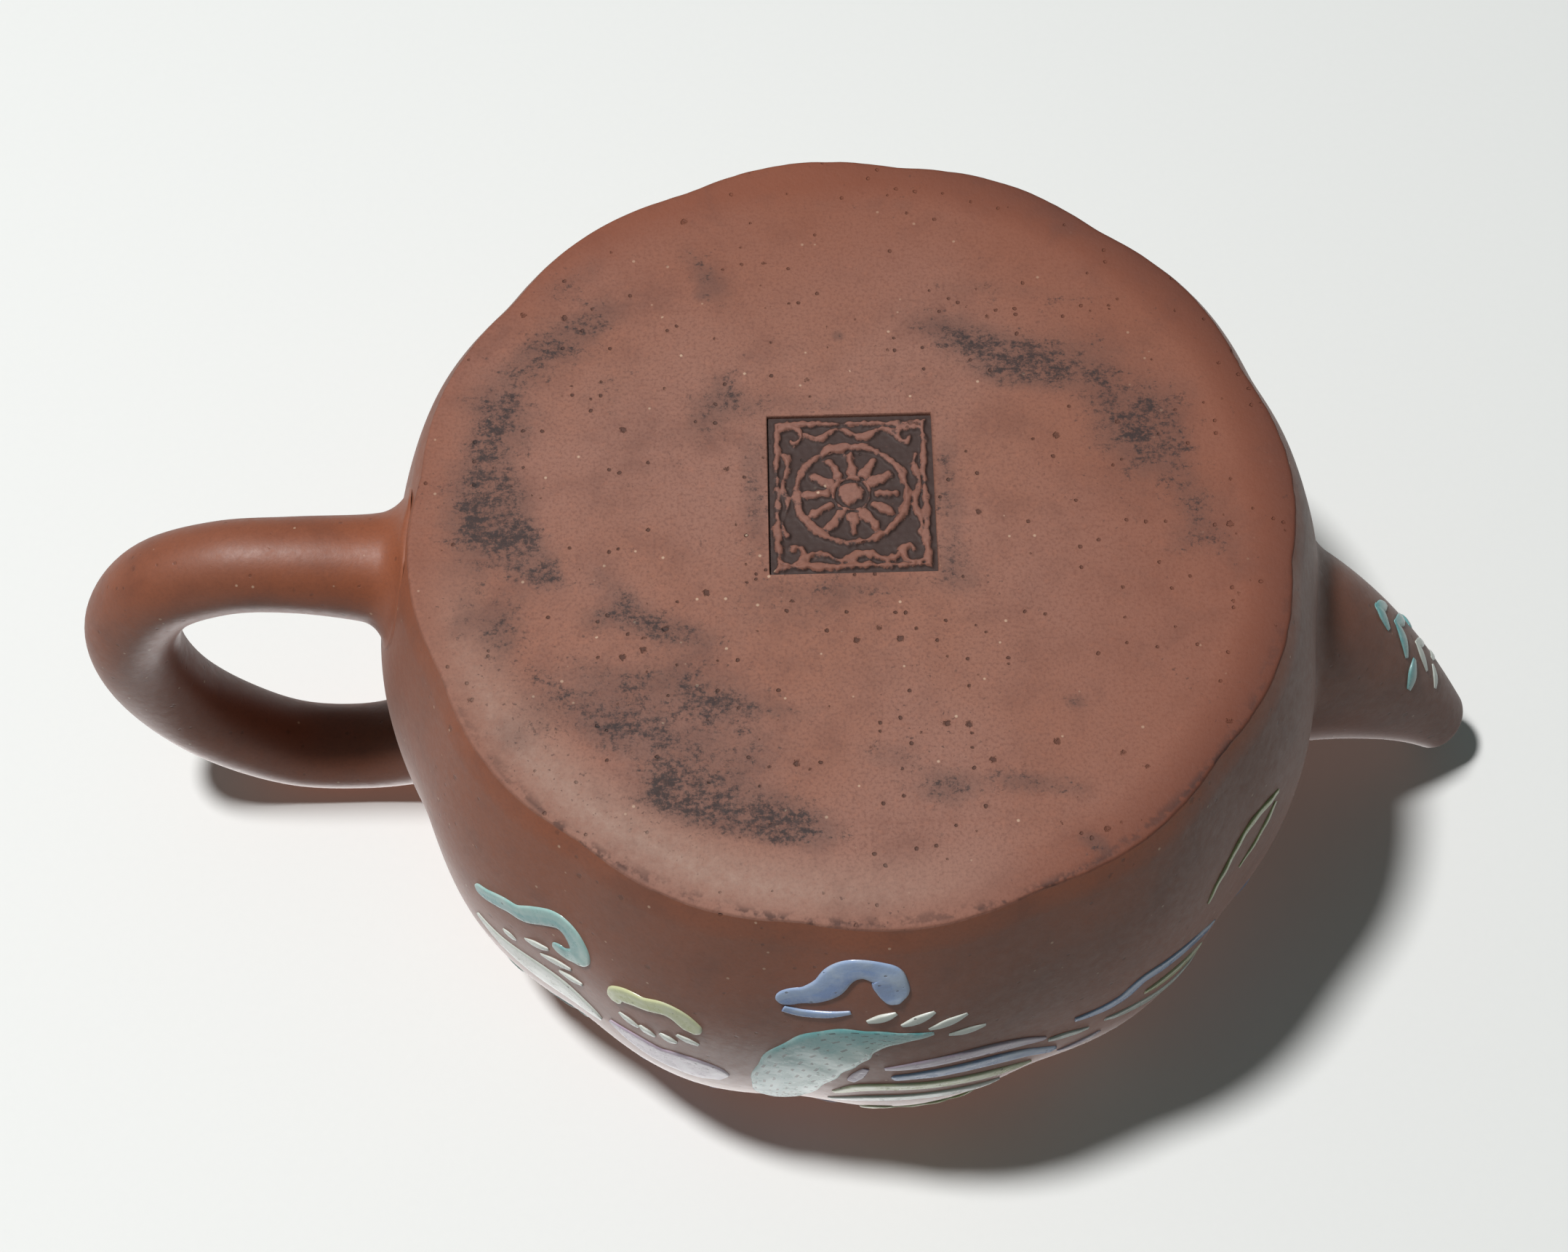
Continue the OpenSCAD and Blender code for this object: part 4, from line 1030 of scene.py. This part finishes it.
# Enamel strokes as [azimuth, height, half width]; dashes as two ends and a half width;
# drops as [share of the way to the lip, angle round the spout, half width]
DECOR = {
    "teal": {
        "strokes": [
            ([[321.2, 21, 0.5], [318.8, 19.9, 1.2], [316.2, 18.5, 1.4], [313.8, 17.9, 1.5], [311.4, 16, 1.6], [308.8, 14.4, 1.6], [306.6, 14.9, 1.7], [305.2, 17, 1.7], [305.4, 19, 1.5], [307.2, 20.2, 1.1], [309.2, 20, 0.4]], 4),
            ([[262.3, 17.9, 0.4], [265.5, 18.2, 1.1], [269, 18.8, 2.3], [272.5, 20.9, 4.4], [276.3, 25.7, 5.2], [278.4, 31, 5], [279.8, 37, 4.2], [280.4, 42, 3], [280.6, 45.5, 1.2]], 6),
        ],
        "scrolls": [
            [316, 47, 1, 1],
            [238, 49.5, 0.9, -1],
        ],
        "drops": [
            [[0.36, 272, 0.3], [0.4, 266, 0.9], [0.44, 257, 0.4]],
            [[0.48, 272, 0.3], [0.53, 260, 0.9], [0.56, 245, 0.4]],
            [[0.61, 250, 0.4], [0.61, 235, 1], [0.61, 221, 0.5]],
        ],
    },
    "blue": {
        "strokes": [
            ([[280.3, 12.6, 0.7], [278.5, 11.5, 1.3], [276.4, 10.8, 1.7], [274.6, 9.2, 1.9], [273.4, 7.2, 1.9], [272, 5.9, 1.8], [270.3, 5.5, 1.7], [268.6, 6, 1.9], [267.6, 6.8, 2.1], [267.1, 8.6, 2.1], [266.9, 10.4, 1.6], [266.8, 11.2, 1]], 4),
            ([[279.6, 13.9, 0.6], [277.4, 14.5, 0.7], [274.5, 14.2, 0.6], [271.8, 13.3, 0.3]], 4),
            ([[267, 29.3, 0.4], [263, 28.9, 1.2], [258.5, 29.4, 1.3], [254.5, 30.8, 1.3], [250.5, 33.5, 1.1], [246, 37.6, 0.4]], 4),
            ([[244.4, 28.2, 0.5], [240.6, 28.2, 1.1], [238, 27.4, 1.2], [235.6, 25.4, 1.2], [232.4, 25.8, 1.2], [229.8, 26.4, 1.1], [226.5, 27.8, 0.9], [222, 31.2, 0.3]], 4),
        ],
        "scrolls": [
            [296, 49.5, 0.9, 1],
            [215, 44, 1, -1],
        ],
    },
    "yellow": {
        "strokes": [
            ([[299.9, 23.4, 0.6], [299.8, 21.4, 1.3], [298.2, 20.2, 1.6], [295.8, 19.8, 1.4], [293.5, 19, 1.5], [291.6, 19.6, 1.6], [290.2, 21.2, 1.5], [289.4, 22.4, 0.9]], 4),
            ([[210.2, 16, 0.4], [211.9, 15.6, 0.6], [215.4, 15.2, 0.7], [218.3, 15.9, 0.6], [221, 17.2, 0.6], [223.6, 18.5, 0.5], [225.2, 20.4, 0.25]], 4),
            ([[210.8, 17.5, 0.4], [212.9, 19.3, 0.5], [215.4, 21.2, 0.45], [218.3, 22.4, 0.3]], 4),
            ([[273.6, 36.6, 0.4], [270.6, 33.4, 1.2], [267, 32.5, 1.2], [262.5, 33, 1.2], [258.2, 34.3, 1.2], [253.5, 36.8, 1.1], [249, 39.7, 0.4]], 4),
            ([[234.8, 30.6, 0.4], [231.4, 31.2, 0.9], [227.3, 32.6, 0.9], [224, 34.6, 0.4]], 4),
        ],
        "scrolls": [
            [264, 46.5, 1, 1],
        ],
    },
    "white": {
        "dashes": [
            [317, 26, 315, 26.4, 0.8],
            [313.4, 23.9, 309.9, 22.4, 0.7],
            [311.2, 25.4, 306.6, 23.8, 0.7],
            [308.6, 27, 305, 25.8, 0.6],
            [299.6, 26.2, 297, 27.4, 0.7],
            [296.8, 26.6, 294.9, 28, 0.7],
            [294.2, 26.2, 292.1, 27.2, 0.7],
            [292, 24.6, 289.4, 25.8, 0.6],
            [269.9, 14.9, 266.6, 13.1, 0.7],
            [266, 15.6, 262.2, 13.5, 0.8],
            [262.9, 16.9, 258.4, 15.2, 0.8],
            [260.6, 18.8, 256.2, 18.9, 0.7],
        ],
        "strokes": [
            ([[322, 29.5, 0.5], [318, 31.4, 2.2], [313, 32.5, 3.6], [308.5, 33, 3.4], [304.6, 33.4, 2], [302.9, 33.8, 0.5]], 6),
            ([[274.2, 40.8, 0.4], [269.5, 37.8, 1.1], [264.6, 37.4, 1.2], [259, 39.1, 1.2], [253, 42.5, 0.5]], 4),
            ([[247.4, 32.2, 0.4], [245.2, 32.6, 0.8], [242.2, 33.2, 0.4]], 4),
            ([[240.1, 32.5, 0.4], [236, 33.9, 1], [231.5, 36.2, 1], [227, 38, 0.8], [223.6, 38.6, 0.3]], 4),
        ],
        "drops": [
            [[0.62, 272, 0.3], [0.66, 262, 0.7], [0.7, 250, 0.3]],
            [[0.74, 266, 0.3], [0.76, 254, 0.6], [0.77, 241, 0.3]],
        ],
    },
    "mauve": {
        "strokes": [
            ([[301.4, 31.5, 0.5], [298.4, 32.8, 2.4], [294.8, 34.4, 3.4], [291.4, 34.6, 4.2], [288.6, 35, 3.8], [286.8, 35.8, 1.8]], 6),
            ([[267.8, 26.4, 0.4], [264, 25.6, 1.1], [260, 25.2, 1.2], [256, 25.9, 1.2], [252, 28, 1], [248, 31, 0.4]], 4),
            ([[271.6, 30.6, 0.6], [270.8, 28.8, 0.8], [269.9, 26.6, 0.4]], 4),
            ([[245.3, 39.6, 0.4], [242.4, 38.6, 0.8], [240.2, 37, 0.4]], 4),
        ],
        "scrolls": [
            [278, 50.5, 0.8, -1],
        ],
    },
}


def build_enamel():
    made = {}
    for hue, d in DECOR.items():
        groups = [("strokes", ENAMEL, [q for q in d["strokes"] if not (hue == "teal" and q[1] == 6)])]
        if hue == "teal":
            groups.append(("plume", ENAMEL_TICKS, [q for q in d["strokes"] if q[1] == 6]))
        made["enamel_" + hue] = []
        for label, material, strokes in groups:
            s = Strokes(hue)
            for q in d.get("dashes", []):
                s.stroke([[q[0], q[1], 0.3], [(q[0] + q[2]) / 2, (q[1] + q[3]) / 2, q[4]], [q[2], q[3], 0.3]])
            for points, facets in strokes:
                s.stroke(points, thick=0.8 if facets == 6 else 1.0, blunt=0.0 if facets == 6 or max(q[2] for q in points) < 1.3 else 1.0)
            if label == "strokes":
                for a, z, size, side in d.get("scrolls", []):
                    s.scroll(a, z, size, side)
            s.mirror_half(0)
            if label == "strokes":
                for points in d.get("drops", []):
                    s.drop(points)
            made["enamel_" + hue].append(s.make("enamel_%s_%s" % (hue, label), material))
    return made


# ---- build ---------------------------------------------------------------------------------

base = build_base()
seal = build_seal()
wall = build_wall()
shoulder = build_shoulder()
collar = build_collar()
spout = build_spout()
handle = build_handle()
build_lid()
enamels = build_enamel()

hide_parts("base_disc")
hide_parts("lower_wall", "upper_wall")
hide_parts("shoulder")
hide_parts("mouth_collar")
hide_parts("spout")
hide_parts("handle")
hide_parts("lid_plate")
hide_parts("lid_flange")
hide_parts("lid_knob")
for node, obs in enamels.items():
    for ob in obs:
        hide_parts(node)
        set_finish(ob, node)
for ob in (base, seal):
    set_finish(ob, "clay_base")
for ob in PARTS:
    if "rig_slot" not in ob:
        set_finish(ob, "clay")

# ---- floor, cloth, light and camera -----------------------------------------------------------


def sheet(name, z, facing, colour):
    """A pale plane that is only there for the eye, and only from the side it faces."""
    s = 6.0
    me = bpy.data.meshes.new(name)
    v = [(-s, -s, z), (s, -s, z), (s, s, z), (-s, s, z)]
    me.from_pydata(v, [], [(0, 1, 2, 3) if facing > 0 else (3, 2, 1, 0)])
    ob = bpy.data.objects.new(name, me)
    bpy.context.scene.collection.objects.link(ob)
    g = Nodes(name)
    b = g.add("ShaderNodeBsdfPrincipled")
    b.inputs["Roughness"].default_value = 0.9
    b.inputs["Specular IOR Level"].default_value = 0.1
    p = g.coords()
    weave = g.noise(p, 900, 2, 0.5)
    g.put(b.inputs["Base Color"], g.mix(g.math("MULTIPLY", weave, 0.08), colour, tuple(c * 0.8 for c in colour[:3])))
    # a dim room: little of the cloth's light comes back to the pot
    back = g.mix(g.add("ShaderNodeLightPath").outputs["Is Diffuse Ray"], b.inputs["Base Color"].links[0].from_socket, tuple(c * 0.36 for c in colour[:3]))
    g.put(b.inputs["Base Color"], back)
    clear = g.add("ShaderNodeBsdfTransparent")
    mix = g.add("ShaderNodeMixShader")
    g.put(mix.inputs[0], g.add("ShaderNodeNewGeometry").outputs["Backfacing"])
    g.put(mix.inputs[1], b.outputs[0])
    g.put(mix.inputs[2], clear.outputs[0])
    g.put(g.out.inputs["Surface"], mix.outputs[0])
    me.materials.append(g.mat)
    ob.visible_shadow = False
    ob.visible_transmission = False
    return ob


floor = sheet("floor", -0.0002, 1, lin(232, 231, 228))
floor.visible_diffuse = floor.visible_glossy = False
cloth = sheet("cloth", (RIM + 0.15) * MM, -1, lin(238, 239, 238))


def lamp(name, where, at, size, power, colour=(1, 1, 1)):
    data = bpy.data.lights.new(name, "AREA")
    data.shape = "DISK"
    data.size = size
    data.energy = power
    data.color = colour
    ob = bpy.data.objects.new(name, data)
    bpy.context.scene.collection.objects.link(ob)
    z = (np.array(where, float) - np.array(at, float))
    z /= np.linalg.norm(z)
    x = np.cross((0.0, 0.3, 1.0), z)
    x /= np.linalg.norm(x)
    y = np.cross(z, x)
    m = Matrix.Identity(4)
    for i in range(3):
        m[i][0], m[i][1], m[i][2], m[i][3] = x[i], y[i], z[i], where[i]
    ob.matrix_world = m
    return ob


# the key stands on the handle's side, below the base, where the base is looked at from
key_dir = np.array([0.325, 0.0, -0.945])
key_dir /= np.linalg.norm(key_dir)
lamp("key", key_dir * 1.0, (0, 0, 0.03), 0.12, 10.6, (1.0, 0.995, 0.985))
lamp("soft_top", (0.15, 0.12, 1.15), (0, 0, 0.03), 0.8, 13.0)

world = bpy.data.worlds.new("studio")
bpy.context.scene.world = world
world.use_nodes = True
bg = world.node_tree.nodes["Background"]
bg.inputs["Color"].default_value = (0.82, 1.0, 0.97, 1.0)
bg.inputs["Strength"].default_value = 0.1

cam_data = bpy.data.cameras.new("camera")
cam_data.lens = 70
cam_data.sensor_width = 36
cam_data.clip_start = 0.01
cam = bpy.data.objects.new("camera", cam_data)
bpy.context.scene.collection.objects.link(cam)
right, up, back, loc = ((-0.99971, -0.01933, 0.0117), (-0.02255, 0.87866, -0.4770), (-0.00106, -0.47712, -0.87885),
                        (0.00769, -0.17613, -0.29916))
m = Matrix.Identity(4)
for i in range(3):
    m[i][0], m[i][1], m[i][2], m[i][3] = right[i], up[i], back[i], loc[i]
cam.matrix_world = m
bpy.context.scene.camera = cam
bpy.context.scene.view_settings.view_transform = "Standard"
